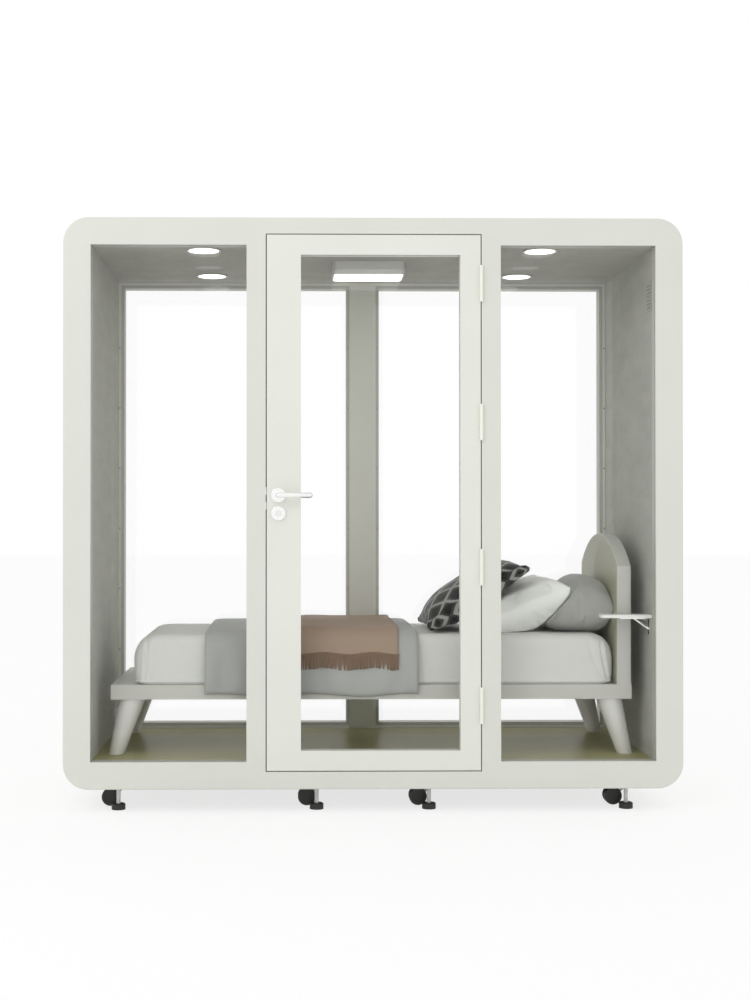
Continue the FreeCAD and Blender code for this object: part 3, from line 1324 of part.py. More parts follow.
def pressed_against(solid, neighbour):
    """A soft piece hollowed where it lies against the pillow to its right."""
    return solid.cut(neighbour.translated(V(-FIT, 0, 0)).fuse(neighbour.translated(V(0, 0, FIT))))


def front_pillow():
    """Flatter pillow leaning on the rear one."""
    solid = pillow(FRONT_PILLOW_LENGTH, PILLOW_WIDTH, FRONT_PILLOW_THICKNESS, FRONT_PILLOW_TILT_DEGREES)
    solid = solid.translated(V(HEADBOARD_FACE - FRONT_PILLOW_OFFSET, 0, 0))
    return pressed_against(solid, rear_pillow())


def plaid_cushion():
    """Square cushion leaning on the front pillow."""
    size = PLAID_CUSHION_SIZE
    solid = pillow(size, size, PLAID_CUSHION_THICKNESS, PLAID_CUSHION_TILT_DEGREES)
    solid = solid.translated(V(HEADBOARD_FACE - PLAID_CUSHION_OFFSET, 0, 0))
    return pressed_against(solid, front_pillow())


# Saving, from the outside in
def save_shell():
    """Frames, cladding, floor and chassis."""
    save("front_frame", front_frame())
    save("back_frame", back_frame())
    save("cladding_panels", side_tray(-1), side_tray(1), roof_tray())
    save("corner_profiles", *[corner_profile(side, up) for side in (-1, 1) for up in (-1, 1)])
    save("base_chassis", base_chassis())
    save("floor_deck", floor_deck())
    save("acoustic_panels", acoustic_panel(-1), acoustic_panel(1))
    save("ceiling_panel", ceiling_panel())
    save("sound_insulation", wall_insulation(-1), wall_insulation(1), roof_insulation())


def save_glazing():
    """Fixed panes with their gaskets and beads, and the seal round the door opening."""
    panes = []
    gaskets = []
    beads = []
    stacks = [(window, 0, 1, FRONT_FRAME_DEPTH) for window in FRONT_WINDOWS]
    stacks += [(window, BODY_DEPTH, -1, BACK_FRAME_DEPTH, BACK_LIP_SETBACK) for window in BACK_WINDOWS]
    for stack in stacks:
        pane, pair, bead = glazing_layers(*stack)
        panes.append(pane)
        gaskets += pair
        beads.append(bead)
    save("fixed_panes", *panes)
    save("rubber_seals", door_seal(), *gaskets)
    save("glazing_beads", *beads)


def save_door():
    """Door leaf, its glazing, hinges and lock."""
    pane, gaskets, bead = glazing_layers(DOOR_GLASS, 0, 1, DOOR_THICKNESS)
    save("door_frame", door_frame())
    save("door_pane", pane)
    save("door_gaskets", *gaskets)
    save("door_bead", bead)
    save("hinge_frame_leaves", *[hinge_frame_leaf(height) for height in HINGE_HEIGHTS])
    save("hinge_door_leaves", *[hinge_door_leaf(height) for height in HINGE_HEIGHTS])
    save("lock_case", lock_case())
    save("door_roses", *door_roses())
    save("lever_handle", lever_handle())
    save("latch_bolt", latch_bolt())
    save("thumb_turn", thumb_turn())
    save("dead_bolt", dead_bolt())
    save("strike_plate", strike_plate())


def save_fittings():
    """Lights, ventilation, power inlet and shelf."""
    save("downlight_trims", *[downlight_trim(x, y) for x, y in downlight_places()])
    save("downlight_lenses", *[downlight_lens(x, y) for x, y in downlight_places()])
    save("light_box", light_box())
    save("light_diffuser", light_diffuser())
    save("vent_grille", vent_grille())
    save("fan_housing", fan_housing())
    save("fan_rotor", fan_rotor())
    save("power_inlet", power_inlet())
    save("shelf_board", shelf_board())
    save("shelf_bracket", shelf_bracket())


def save_carriers():
    """Casters and levelling feet, front row first, left to right."""
    casters = carrier_places(CASTER_SETBACK)
    save("caster_yokes", *[caster_yoke(x, y) for x, y in casters])
    for number, (x, y) in enumerate(casters, start=1):
        save("caster_wheels_%d" % number, caster_wheels(x, y))
    for number, (x, y) in enumerate(carrier_places(FOOT_SETBACK), start=1):
        save("levelling_foot_%d" % number, levelling_foot(x, y))


def save_bed():
    """Bed and bedding."""
    save("bed_frame", bed_frame())
    save("bed_legs", *bed_legs())
    save("headboard", headboard())
    save("mattress", mattress())
    save("blanket", blanket())
    save("throw", throw())
    save("pillows", rear_pillow(), front_pillow())
    save("plaid_cushion", plaid_cushion())


os.makedirs("parts", exist_ok=True)
save_shell()
save_glazing()
save_door()
save_fittings()
save_carriers()
save_bed()
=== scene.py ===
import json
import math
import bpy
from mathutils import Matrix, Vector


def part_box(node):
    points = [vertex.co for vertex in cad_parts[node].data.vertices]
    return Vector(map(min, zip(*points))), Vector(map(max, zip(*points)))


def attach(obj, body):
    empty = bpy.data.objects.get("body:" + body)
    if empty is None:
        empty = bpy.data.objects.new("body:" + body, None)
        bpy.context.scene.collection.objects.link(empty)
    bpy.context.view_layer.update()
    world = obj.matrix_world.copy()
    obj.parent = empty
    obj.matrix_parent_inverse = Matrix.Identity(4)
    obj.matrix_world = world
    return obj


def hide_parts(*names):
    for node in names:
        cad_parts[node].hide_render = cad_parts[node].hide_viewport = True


bl_info = {
    "name": "Nap booth dressing",
    "version": (1, 0, 0),
    "blender": (4, 5, 0),
    "location": "3D View > Sidebar > Nap Booth",
    "description": "Finishes, bedding, small screws and studio for a glazed office nap booth",
    "category": "Object",
}

import bmesh
import bpy
import numpy as np
from bpy.props import FloatProperty, FloatVectorProperty, IntProperty, PointerProperty

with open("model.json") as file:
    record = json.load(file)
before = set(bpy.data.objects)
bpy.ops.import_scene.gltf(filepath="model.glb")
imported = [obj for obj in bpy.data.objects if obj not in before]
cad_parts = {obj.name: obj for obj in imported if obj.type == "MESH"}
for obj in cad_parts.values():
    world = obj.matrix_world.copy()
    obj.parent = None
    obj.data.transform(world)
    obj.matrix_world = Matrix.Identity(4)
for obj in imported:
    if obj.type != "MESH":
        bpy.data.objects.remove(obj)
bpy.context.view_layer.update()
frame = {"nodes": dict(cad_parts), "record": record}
SLOTS = {row["node"]: row["material_slot"] for row in frame["record"]["subparts"]}
BODY = "booth"
FULL_TURN = 2 * math.pi

# Boxes of the CAD pieces that the bedding and the screws are set against, in metres
BED_LOW, BED_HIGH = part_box("bed_frame")
MATTRESS_LOW, MATTRESS_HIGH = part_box("mattress")
BLANKET_LOW, BLANKET_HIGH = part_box("blanket")
THROW_LOW, THROW_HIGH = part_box("throw")
BEADS_LOW, BEADS_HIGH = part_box("glazing_beads")
HEADBOARD_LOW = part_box("headboard")[0]

# Smallest gap kept between a soft piece and its neighbour
CLEAR = 0.001
# Points nearer than this are merged along the seams of a piece, and of the mattress
SEAM = 1e-6
MATTRESS_SEAM = 1e-5


def tone(red, green, blue):
    """Linear colour of an sRGB triple given from 0 to 255."""
    values = np.array((red, green, blue)) / 255.0
    linear = np.where(values <= 0.04045, values / 12.92, ((values + 0.055) / 1.055) ** 2.4)
    return tuple(float(value) for value in linear)


def colour(label, red, green, blue):
    """Colour property with its default as an sRGB triple."""
    return FloatVectorProperty(
        name=label,
        description="Base colour of the %s" % label.lower(),
        subtype="COLOR",
        size=3,
        min=0.0,
        max=1.0,
        default=tone(red, green, blue),
    )


def length(label, description, default):
    """Length property in metres."""
    return FloatProperty(name=label, description=description, unit="LENGTH", default=default, min=0.0)


class BoothColours(bpy.types.PropertyGroup):
    """Colours of the booth's finishes."""

    shell: colour("Shell paint", 221, 222, 213)
    door: colour("Door paint", 229, 230, 221)
    chassis: colour("Chassis paint", 120, 120, 116)
    floor: colour("Floor vinyl", 164, 161, 118)
    wall: colour("Wall felt", 167, 168, 157)
    ceiling: colour("Ceiling felt", 160, 160, 150)
    grille: colour("Vent grille", 166, 167, 156)
    insulation: colour("Insulation", 180, 178, 168)
    rubber: colour("Seal rubber", 190, 191, 185)
    trim: colour("Back trim", 184, 185, 175)
    hinge: colour("Hinge paint", 243, 243, 233)
    steel: colour("Lock steel", 190, 190, 188)
    bright: colour("Bright metal", 250, 250, 248)
    key_plug: colour("Key plug", 240, 240, 237)
    lamp_rim: colour("Downlight rim", 170, 170, 162)
    light_box: colour("Light box paint", 214, 215, 210)
    glow: colour("Lit opal sheet", 255, 253, 248)
    plastic: colour("Black plastic", 38, 38, 37)
    shelf: colour("Shelf laminate", 236, 236, 232)
    caster: colour("Caster paint", 208, 209, 205)
    wheel: colour("Wheel nylon", 36, 37, 34)
    rod: colour("Foot rod", 240, 241, 238)
    pad: colour("Foot pad", 40, 40, 38)
    bed: colour("Bed lacquer", 196, 196, 188)
    # The headboard's face takes a darker tone than its edge as painted shade
    headboard: colour("Headboard face", 163, 163, 141)
    headboard_edge: colour("Headboard edge", 196, 197, 190)
    # The legs take a lighter copy of the bed lacquer as painted light
    leg: colour("Leg lacquer", 226, 226, 221)
    sheet: colour("Sheet cotton", 216, 217, 212)
    blanket: colour("Blanket cotton", 170, 172, 168)
    throw: colour("Throw wool", 171, 151, 133)
    fringe: colour("Throw fringe", 146, 123, 104)
    pillow: colour("Pillow cotton", 242, 244, 239)
    rear_pillow: colour("Rear pillow cotton", 168, 169, 164)
    plaid_dark: colour("Plaid dark", 40, 40, 38)
    plaid_mid: colour("Plaid mid", 84, 84, 81)
    plaid_light: colour("Plaid line", 176, 176, 171)
    screw: colour("Screw", 150, 150, 145)


class BeddingSizes(bpy.types.PropertyGroup):
    """Sizes of the soft pieces and small parts."""

    blanket_thickness: length("Blanket thickness", "Padding of the blanket away from its edges", 0.019)
    blanket_folds: IntProperty(name="Blanket folds", description="Folds along the hem", default=5, min=1)
    blanket_fold_depth: length("Fold depth", "Swing of the blanket's folds at the hem", 0.009)
    throw_thickness: length("Throw thickness", "Thickness of the throw", 0.005)
    fringe_length: length("Fringe length", "Length of the throw's tassels", 0.066)
    fringe_pitch: length("Fringe pitch", "Distance between tassels", 0.0062)
    pillow_width: length("Pillow width", "Pillow size across the bed", 0.58)
    rear_pillow_length: length("Rear pillow length", "Size of the rear pillow along the bed", 0.3)
    rear_pillow_thickness: length("Rear pillow thickness", "Crown of the rear pillow", 0.24)
    front_pillow_length: length("Front pillow length", "Size of the front pillow up its slope", 0.45)
    front_pillow_thickness: length("Front pillow thickness", "Crown of the front pillow", 0.155)
    cushion_size: length("Cushion size", "Side of the square plaid cushion", 0.508)
    cushion_thickness: length("Cushion thickness", "Crown of the plaid cushion", 0.215)
    plaid_cell: length("Plaid cell", "Repeat of the plaid", 0.092)
    lip_radius: length("Lip radius", "Radius of the strike's rounded lips", 0.0012)
    lip_length: length("Lip length", "Length of the strike's lips", 0.031)
    screw_radius: length("Screw radius", "Radius of the small trim screws", 0.0036)
    screw_spacing: length("Screw spacing", "Distance between trim screws", 0.27)


def colours():
    """Colours set for this scene."""
    return bpy.context.scene.booth_colours


def sizes():
    """Sizes set for this scene."""
    return bpy.context.scene.booth_sizes


# Material building blocks
# Sockets of the mix node once it blends colours
MIX_FACTOR, MIX_FIRST, MIX_SECOND, MIX_RESULT = 0, 6, 7, 2


def node(tree, kind, inputs=None, **settings):
    """Add one shader node, set its options, and fill or link its inputs."""
    made = tree.nodes.new(kind)
    for key, value in settings.items():
        setattr(made, key, value)
    for key, value in (inputs or {}).items():
        if isinstance(value, bpy.types.NodeSocket):
            tree.links.new(value, made.inputs[key])
        else:
            made.inputs[key].default_value = value
    return made


def finish_maker(fill):
    """Turn a function that fills a shader tree into one that makes a material of a given name."""

    def make(name, *values):
        material = bpy.data.materials.new(name)
        material.use_nodes = True
        fill(material.node_tree, *values)
        return material

    return make


def place(tree, stretch=(1.0, 1.0, 1.0), turn=(0.0, 0.0, 0.0), source="Object"):
    """Object coordinates, or the piece's own UV map, scaled and turned."""
    coords = node(tree, "ShaderNodeTexCoord").outputs[source]
    made = node(tree, "ShaderNodeMapping", {"Vector": coords, "Scale": stretch, "Rotation": turn})
    return made.outputs["Vector"]


def split(tree, vector):
    """The X, Y and Z of a vector."""
    return node(tree, "ShaderNodeSeparateXYZ", {"Vector": vector}).outputs


def noise(tree, scale, detail=4.0, roughness=0.55, stretch=(1.0, 1.0, 1.0), source="Object"):
    """Soft random pattern from 0 to 1, scaled along the axes by a stretch."""
    values = {"Scale": scale, "Detail": detail, "Roughness": roughness}
    vector = place(tree, stretch, source=source)
    return node(tree, "ShaderNodeTexNoise", {"Vector": vector, **values}).outputs["Fac"]


def ramp(tree, value, *stops):
    """Colour picked from stops of (position, linear colour)."""
    made = node(tree, "ShaderNodeValToRGB", {"Fac": value})
    elements = made.color_ramp.elements
    while len(elements) < len(stops):
        elements.new(1.0)
    for element, (position, shade) in zip(elements, stops):
        element.position = position
        element.color = (*shade[:3], 1.0)
    return made.outputs["Color"]


def spread(shade, share):
    """A colour made lighter or darker by a share."""
    return tuple(min(1.0, value * (1.0 + share)) for value in shade)


def mottled(tree, value, shade, darker, lighter, low=0.3, high=0.7):
    """A shade that runs from darker to lighter by two shares while the value climbs from low to high."""
    return ramp(tree, value, (low, spread(shade, -darker)), (high, spread(shade, lighter)))


def scaled(tree, value, low, high):
    """A 0 to 1 value carried to another range."""
    made = node(tree, "ShaderNodeMapRange", {"Value": value, "To Min": low, "To Max": high})
    return made.outputs["Result"]


def math_node(tree, operation, first, second=0.0):
    """One sum on values."""
    return node(tree, "ShaderNodeMath", {0: first, 1: second}, operation=operation).outputs[0]


def wave(tree, value, pitch):
    """Sine of a length that repeats once in each pitch."""
    return math_node(tree, "SINE", math_node(tree, "MULTIPLY", value, FULL_TURN / pitch))


def mix(tree, factor, first, second):
    """Blend of two colours."""
    inputs = {MIX_FACTOR: factor, MIX_FIRST: first, MIX_SECOND: second}
    return node(tree, "ShaderNodeMix", inputs, data_type="RGBA").outputs[MIX_RESULT]


def feed(tree, **sockets):
    """Link or set the main shader's sockets; underscores stand for spaces."""
    shader = tree.nodes["Principled BSDF"]
    for key, value in sockets.items():
        target = shader.inputs[key.replace("_", " ")]
        if isinstance(value, bpy.types.NodeSocket):
            tree.links.new(value, target)
        elif target.type == "RGBA":
            target.default_value = (*value[:3], 1.0)
        else:
            target.default_value = value


def bump(tree, height, strength, distance):
    """Relief on the main shader's normal."""
    made = node(tree, "ShaderNodeBump", {"Height": height, "Strength": strength, "Distance": distance})
    feed(tree, Normal=made.outputs["Normal"])


# Hard finishes
# Stretch of a pattern: grain along the bed or upright, scratches along x or z, clouds and fibres of the felt
ALONG_BED = (0.06, 1.0, 1.0)
UPRIGHT = (1.0, 1.0, 0.06)
SCRATCH_X = (0.04, 1.0, 1.0)
SCRATCH_Z = (1.0, 1.0, 0.04)
FELT_CLOUDS = (0.6, 0.35, 1.0)
FELT_FIBRES = (1.0, 1.0, 0.35)
# Where a finish changes: over the foot's pad, behind the headboard's face, behind the grille's skin, in its
# rim; the headboard face's darker tone and the grille's dark bores are painted shade
PAD_TOP = 0.0232
BOARD_FACE = HEADBOARD_LOW.x + 0.003
GRILLE_SKIN = 0.0004
GRILLE_RIM = 0.004
ROD_THREAD = 0.0025
GLASS_TINT = (0.985, 0.995, 0.99)


def orange_peel(tree, low, high):
    """Fine relief of a powder coat, with gloss that wanders between two roughnesses."""
    grain = noise(tree, scale=650.0, detail=2.0, roughness=0.5)
    feed(tree, Roughness=scaled(tree, grain, low, high))
    bump(tree, grain, strength=0.12, distance=0.0004)
    return grain


@finish_maker
def paint(tree, shade, roughness=0.42):
    """Powder coat: faint cloudy tone, fine orange peel and uneven gloss."""
    cloud = noise(tree, scale=2.2, detail=3.0)
    feed(tree, Base_Color=mottled(tree, cloud, shade, darker=0.02, lighter=0.015))
    orange_peel(tree, roughness - 0.06, roughness + 0.08)


@finish_maker
def felt(tree, shade):
    """Pressed polyester felt: cloudy grey with pale and dark fibres and a soft nap."""
    cloud = noise(tree, scale=15.0, detail=6.0, roughness=0.68, stretch=FELT_CLOUDS)
    fibre = noise(tree, scale=420.0, detail=6.0, roughness=0.7, stretch=FELT_FIBRES)
    speck = noise(tree, scale=130.0, detail=8.0, roughness=0.75)
    body = mottled(tree, cloud, shade, darker=0.2, lighter=0.14, low=0.32, high=0.68)
    flecks = ramp(tree, speck, (0.38, spread(shade, -0.22)), (0.5, shade), (0.64, spread(shade, 0.18)))
    feed(tree, Base_Color=mix(tree, 0.4, body, flecks), Roughness=0.95)
    feed(tree, Sheen_Weight=0.25, Sheen_Roughness=0.6, Specular_IOR_Level=0.1)
    bump(tree, fibre, strength=0.55, distance=0.0012)


@finish_maker
def vinyl(tree, shade):
    """Sheet vinyl floor: fine mottling under a satin wear layer with slight scuffs."""
    cloud = noise(tree, scale=5.0, detail=6.0, roughness=0.6)
    speck = noise(tree, scale=260.0, detail=3.0, roughness=0.7)
    scuff = noise(tree, scale=7.0, detail=4.0, roughness=0.6)
    body = mottled(tree, cloud, shade, darker=0.06, lighter=0.05)
    flecks = mottled(tree, speck, shade, darker=0.12, lighter=0.1, low=0.35, high=0.65)
    feed(tree, Base_Color=mix(tree, 0.4, body, flecks), Roughness=scaled(tree, scuff, 0.3, 0.38))
    feed(tree, Specular_IOR_Level=0.04)
    bump(tree, speck, strength=0.05, distance=0.0003)


@finish_maker
def foam(tree, shade):
    """Open sound foam: coarse pores, darker in their hollows as painted shade."""
    pores = node(tree, "ShaderNodeTexVoronoi", {"Vector": place(tree), "Scale": 160.0}).outputs["Distance"]
    # Painted shade: the colour darkens towards the hollows of the pores
    body = mottled(tree, pores, shade, darker=0.25, lighter=0.0, low=0.1, high=0.6)
    feed(tree, Base_Color=body, Roughness=0.9)
    bump(tree, pores, strength=0.6, distance=0.003)


@finish_maker
def glass(tree):
    """Clear float glass that lets light through, with a trace of smear in its gloss."""
    smear = noise(tree, scale=3.0)
    feed(tree, Base_Color=GLASS_TINT, Roughness=scaled(tree, smear, 0.0, 0.015))
    feed(tree, Transmission_Weight=1.0, IOR=1.45, Alpha=0.05)


@finish_maker
def rubber(tree, shade):
    """Matt rubber with a dusty bloom."""
    dust = noise(tree, scale=60.0, detail=5.0)
    grain = noise(tree, scale=500.0, detail=2.0)
    feed(tree, Base_Color=mottled(tree, dust, shade, darker=0.1, lighter=0.06, low=0.35, high=0.75))
    feed(tree, Roughness=scaled(tree, dust, 0.65, 0.85))
    bump(tree, grain, strength=0.15, distance=0.0005)


@finish_maker
def metal(tree, shade, roughness, stretch):
    """Brushed metal: fine scratches drawn out along one axis."""
    scratch = noise(tree, scale=300.0, detail=3.0, roughness=0.6, stretch=stretch)
    feed(tree, Base_Color=mottled(tree, scratch, shade, darker=0.05, lighter=0.03))
    feed(tree, Metallic=1.0, Roughness=scaled(tree, scratch, roughness - 0.06, roughness + 0.06))
    bump(tree, scratch, strength=0.06, distance=0.0002)


@finish_maker
def plastic(tree, shade, roughness=0.5):
    """Moulded plastic with a fine spark texture."""
    spark = noise(tree, scale=800.0, detail=2.0)
    wear = noise(tree, scale=40.0)
    feed(tree, Base_Color=mottled(tree, wear, shade, darker=0.08, lighter=0.2, low=0.35))
    feed(tree, Roughness=scaled(tree, wear, roughness - 0.08, roughness + 0.12))
    bump(tree, spark, strength=0.2, distance=0.0003)


@finish_maker
def opal(tree, shade, strength):
    """Lit opal sheet: even glow over a faintly mottled diffuser."""
    haze = noise(tree, scale=30.0, detail=3.0)
    feed(tree, Base_Color=mottled(tree, haze, shade, darker=0.03, lighter=0.0), Roughness=0.35)
    feed(tree, Emission_Color=shade, Emission_Strength=strength)


@finish_maker
def foot_finish(tree, rod_shade, pad_shade):
    """Zinc rod with a rolled thread above a black rubber pad, split by height."""
    height = split(tree, place(tree))["Z"]
    on_rod = math_node(tree, "GREATER_THAN", height, PAD_TOP)
    dust = noise(tree, scale=90.0)
    rod_tone = mottled(tree, dust, rod_shade, darker=0.08, lighter=0.03)
    pad_tone = mottled(tree, dust, pad_shade, darker=0.1, lighter=0.3)
    feed(tree, Base_Color=mix(tree, on_rod, pad_tone, rod_tone))
    feed(tree, Metallic=scaled(tree, on_rod, 0.0, 0.1), Roughness=scaled(tree, on_rod, 0.6, 0.35))
    thread = math_node(tree, "MULTIPLY", wave(tree, height, ROD_THREAD), on_rod)
    bump(tree, thread, strength=0.7, distance=0.0006)


def wood_grain(tree, along, low, high):
    """Grain just felt through lacquer, drawn out along the wood, with gloss between two roughnesses."""
    grain = noise(tree, scale=70.0, detail=6.0, roughness=0.65, stretch=along)
    feed(tree, Roughness=scaled(tree, grain, low, high))
    bump(tree, grain, strength=0.12, distance=0.0006)


def lacquer_tone(tree, shade):
    """Faintly cloudy colour of lacquer."""
    cloud = noise(tree, scale=4.0, detail=3.0)
    return mottled(tree, cloud, shade, darker=0.035, lighter=0.02)


@finish_maker
def lacquer(tree, shade, along):
    """Lacquered wood: grain just felt through the paint, with satin gloss."""
    feed(tree, Base_Color=lacquer_tone(tree, shade))
    wood_grain(tree, along, 0.4, 0.52)


@finish_maker
def shaded_face_board(tree, face_shade, edge_shade):
    """Lacquered board whose face takes a darker tone than its edge as painted shade: two tones split by the
    place along the bed.
    """
    on_edge = math_node(tree, "GREATER_THAN", split(tree, place(tree))["X"], BOARD_FACE)
    tones = lacquer_tone(tree, face_shade), lacquer_tone(tree, edge_shade)
    feed(tree, Base_Color=mix(tree, on_edge, *tones))
    wood_grain(tree, UPRIGHT, 0.42, 0.54)


@finish_maker
def perforated(tree, face_shade, painted_bore_shade, low, high):
    """Painted grille with painted shade in its bores: a dark tone shows behind the face and within the rim."""
    spot = split(tree, place(tree))
    # Painted shade: the bores behind the face and within the rim take a dark tone
    shaded_bores = math_node(tree, "GREATER_THAN", spot["X"], low.x + GRILLE_SKIN)
    for axis, first, last in (("Y", low.y, high.y), ("Z", low.z, high.z)):
        from_middle = math_node(tree, "SUBTRACT", spot[axis], (first + last) / 2)
        distance = math_node(tree, "ABSOLUTE", from_middle)
        inside = math_node(tree, "LESS_THAN", distance, (last - first) / 2 - GRILLE_RIM)
        shaded_bores = math_node(tree, "MULTIPLY", shaded_bores, inside)
    grain = orange_peel(tree, 0.52, 0.66)
    face = mottled(tree, grain, face_shade, darker=0.03, lighter=0.02)
    feed(tree, Base_Color=mix(tree, shaded_bores, face, (*painted_bore_shade, 1.0)))


# Cloth finishes
# Repeat of the threads, yarns and twill
FINE_WEAVE = 0.0012
COARSE_WEAVE = 0.0022
THROW_YARN = 0.0045
FRINGE_YARN = 0.004
TWILL = 0.004
# Half widths of the plaid's bands and lines, as shares of its cell
BAND_HALF = 0.2
LINE_HALF = 0.085
# Stretch of slubs and of heathered yarn on the cloth's map
SLUBS = (4.0, 60.0, 1.0)
HEATHER = (9.0, 60.0, 1.0)


def weave(tree, vector, pitch):
    """Plain weave height: crossed thread waves, from 0 to 1."""
    threads = split(tree, vector)
    crossed = math_node(tree, "MULTIPLY", wave(tree, threads["X"], pitch), wave(tree, threads["Y"], pitch))
    return scaled(tree, math_node(tree, "ADD", crossed, 1.0), 0.0, 0.5)


@finish_maker
def cotton(tree, shade, pitch=FINE_WEAVE, relief=0.25, mottle=0.03):
    """Woven cotton on the cloth's own map: threads, slubs and a soft sheen."""
    thread = weave(tree, place(tree, source="UV"), pitch)
    slub = noise(tree, scale=12.0, detail=4.0, roughness=0.6, stretch=SLUBS, source="UV")
    cloud = noise(tree, scale=14.0, detail=5.0, roughness=0.6)
    body = mottled(tree, cloud, shade, darker=mottle, lighter=mottle)
    yarn = mottled(tree, slub, shade, darker=0.07, lighter=0.05)
    feed(tree, Base_Color=mix(tree, 0.5, body, yarn), Roughness=0.88)
    feed(tree, Sheen_Weight=0.2, Sheen_Roughness=0.5, Specular_IOR_Level=0.2)
    bump(tree, thread, strength=relief, distance=pitch * 0.4)


@finish_maker
def ribbed_wool(tree, shade, pitch):
    """Ribbed throw: rows of yarn that run across the bed, with heathered yarn."""
    row = wave(tree, split(tree, place(tree, source="UV"))["X"], pitch)
    heather = noise(tree, scale=14.0, detail=6.0, roughness=0.7, stretch=HEATHER, source="UV")
    fuzz = noise(tree, scale=700.0, detail=3.0, roughness=0.7)
    body = mottled(tree, heather, shade, darker=0.16, lighter=0.12, low=0.28, high=0.72)
    upper_half = scaled(tree, row, 0.0, 1.0)
    shadowed = mottled(tree, upper_half, shade, darker=0.2, lighter=0.0, low=0.0, high=0.6)
    feed(tree, Base_Color=mix(tree, 0.35, body, shadowed), Roughness=0.95)
    feed(tree, Sheen_Weight=0.1, Sheen_Roughness=0.4, Specular_IOR_Level=0.1)
    bump(tree, math_node(tree, "ADD", row, fuzz), strength=0.5, distance=0.0012)


@finish_maker
def plaid(tree, dark, mid, light, cell):
    """Woven check: mid bands over a dark ground, crossed by pale lines, on the cloth's own map."""
    bias = split(tree, place(tree, turn=(0.0, 0.0, math.pi / 4), source="UV"))
    bands = []
    lines = []
    for axis in ("X", "Y"):
        repeat = math_node(tree, "FRACT", math_node(tree, "MULTIPLY", bias[axis], 1.0 / cell))
        from_middle = math_node(tree, "ABSOLUTE", math_node(tree, "SUBTRACT", repeat, 0.5))
        bands.append(math_node(tree, "LESS_THAN", from_middle, BAND_HALF))
        lines.append(math_node(tree, "LESS_THAN", from_middle, LINE_HALF))
    ground = math_node(tree, "MULTIPLY", math_node(tree, "ADD", *bands), 0.5)
    cloth = mix(tree, ground, (*dark, 1.0), (*mid, 1.0))
    line = math_node(tree, "MAXIMUM", *lines)
    fleck = scaled(tree, noise(tree, scale=400.0, detail=4.0, roughness=0.7), 0.55, 1.0)
    cloth = mix(tree, math_node(tree, "MULTIPLY", line, fleck), cloth, (*light, 1.0))
    feed(tree, Base_Color=cloth, Roughness=0.92)
    feed(tree, Sheen_Weight=0.3, Sheen_Roughness=0.45, Specular_IOR_Level=0.15)
    twill = wave(tree, math_node(tree, "ADD", bias["X"], bias["Y"]), TWILL)
    bump(tree, twill, strength=0.35, distance=0.0008)


FINISHES = {
    "shell_white": lambda c: paint("shell_paint", c.shell),
    "door_white": lambda c: paint("door_paint", c.door),
    "chassis_steel": lambda c: paint("chassis_paint", c.chassis, 0.5),
    "floor_vinyl": lambda c: vinyl("floor_vinyl", c.floor),
    "wall_felt": lambda c: felt("wall_felt", c.wall),
    "ceiling_felt": lambda c: felt("ceiling_felt", c.ceiling),
    "insulation": lambda c: foam("sound_foam", c.insulation),
    "clear_glass": lambda c: glass("clear_glass"),
    "grey_rubber": lambda c: rubber("seal_rubber", c.rubber),
    "trim_grey": lambda c: paint("back_trim_paint", c.trim, 0.48),
    "hinge_cream": lambda c: paint("hinge_paint", c.hinge, 0.36),
    "lock_steel": lambda c: metal("lock_steel", c.steel, 0.32, SCRATCH_Z),
    "satin_white_metal": lambda c: metal("bright_metal", c.bright, 0.17, SCRATCH_X),
    "lamp_white": lambda c: paint("downlight_rim_paint", c.lamp_rim, 0.38),
    "lamp_opal": lambda c: opal("lit_opal", c.glow, 1.5),
    "light_box_grey": lambda c: paint("light_box_paint", c.light_box, 0.45),
    "black_plastic": lambda c: plastic("black_plastic", c.plastic),
    "shelf_white": lambda c: lacquer("shelf_laminate", c.shelf, ALONG_BED),
    "caster_grey": lambda c: paint("caster_paint", c.caster, 0.4),
    "wheel_black": lambda c: plastic("wheel_nylon", c.wheel, 0.45),
    "foot_steel": lambda c: foot_finish("levelling_foot", c.rod, c.pad),
    "bed_paint": lambda c: lacquer("bed_lacquer", c.bed, ALONG_BED),
    # The headboard's face takes a darker tone as painted shade
    "headboard_paint": lambda c: shaded_face_board("headboard_lacquer", c.headboard, c.headboard_edge),
    "sheet_white": lambda c: cotton("sheet_cotton", c.sheet),
    "blanket_grey": lambda c: cotton("blanket_cotton", c.blanket, COARSE_WEAVE, 0.35, 0.05),
    "throw_tan": lambda c: ribbed_wool("throw_wool", c.throw, THROW_YARN),
    "pillow_white": lambda c: cotton("pillow_cotton", c.pillow),
    "plaid_cloth": lambda c: plaid(
        "plaid_cloth", c.plaid_dark, c.plaid_mid, c.plaid_light, sizes().plaid_cell
    ),
}
made_finishes = {}


def finish(slot):
    """Material of one material slot, made the first time it is asked for."""
    if slot not in made_finishes:
        made_finishes[slot] = FINISHES[slot](colours())
    return made_finishes[slot]


def coat(name, material):
    """Give one CAD node a material."""
    for holder in frame["nodes"][name].material_slots:
        holder.material = material


def dress(*names):
    """Give CAD nodes the finish of their material slot."""
    for name in names:
        coat(name, finish(SLOTS[name]))


# Mesh building blocks
# Random ripples: how many sines, the range of their rate and of their start
RIPPLE_WAVES = 6
RIPPLE_RATES = (0.6, 1.4)
RIPPLE_STARTS = (0.0, 6.28)


def grid_quads(rows, columns, first=0):
    """Quads of a grid of points numbered row by row: each cell joins its four corners."""
    corner = first + np.arange(rows - 1)[:, None] * columns + np.arange(columns - 1)[None, :]
    return np.stack([corner, corner + 1, corner + columns + 1, corner + columns], axis=-1).reshape(-1, 4)


def grid_copies(rows, columns, copies):
    """Quads of several grids of points, numbered one grid after another."""
    return np.concatenate([grid_quads(rows, columns, number * rows * columns) for number in range(copies)])


def ring_angles(sides):
    """Angles round a ring, with the first one met again at the end."""
    return np.arange(sides + 1) / sides * FULL_TURN


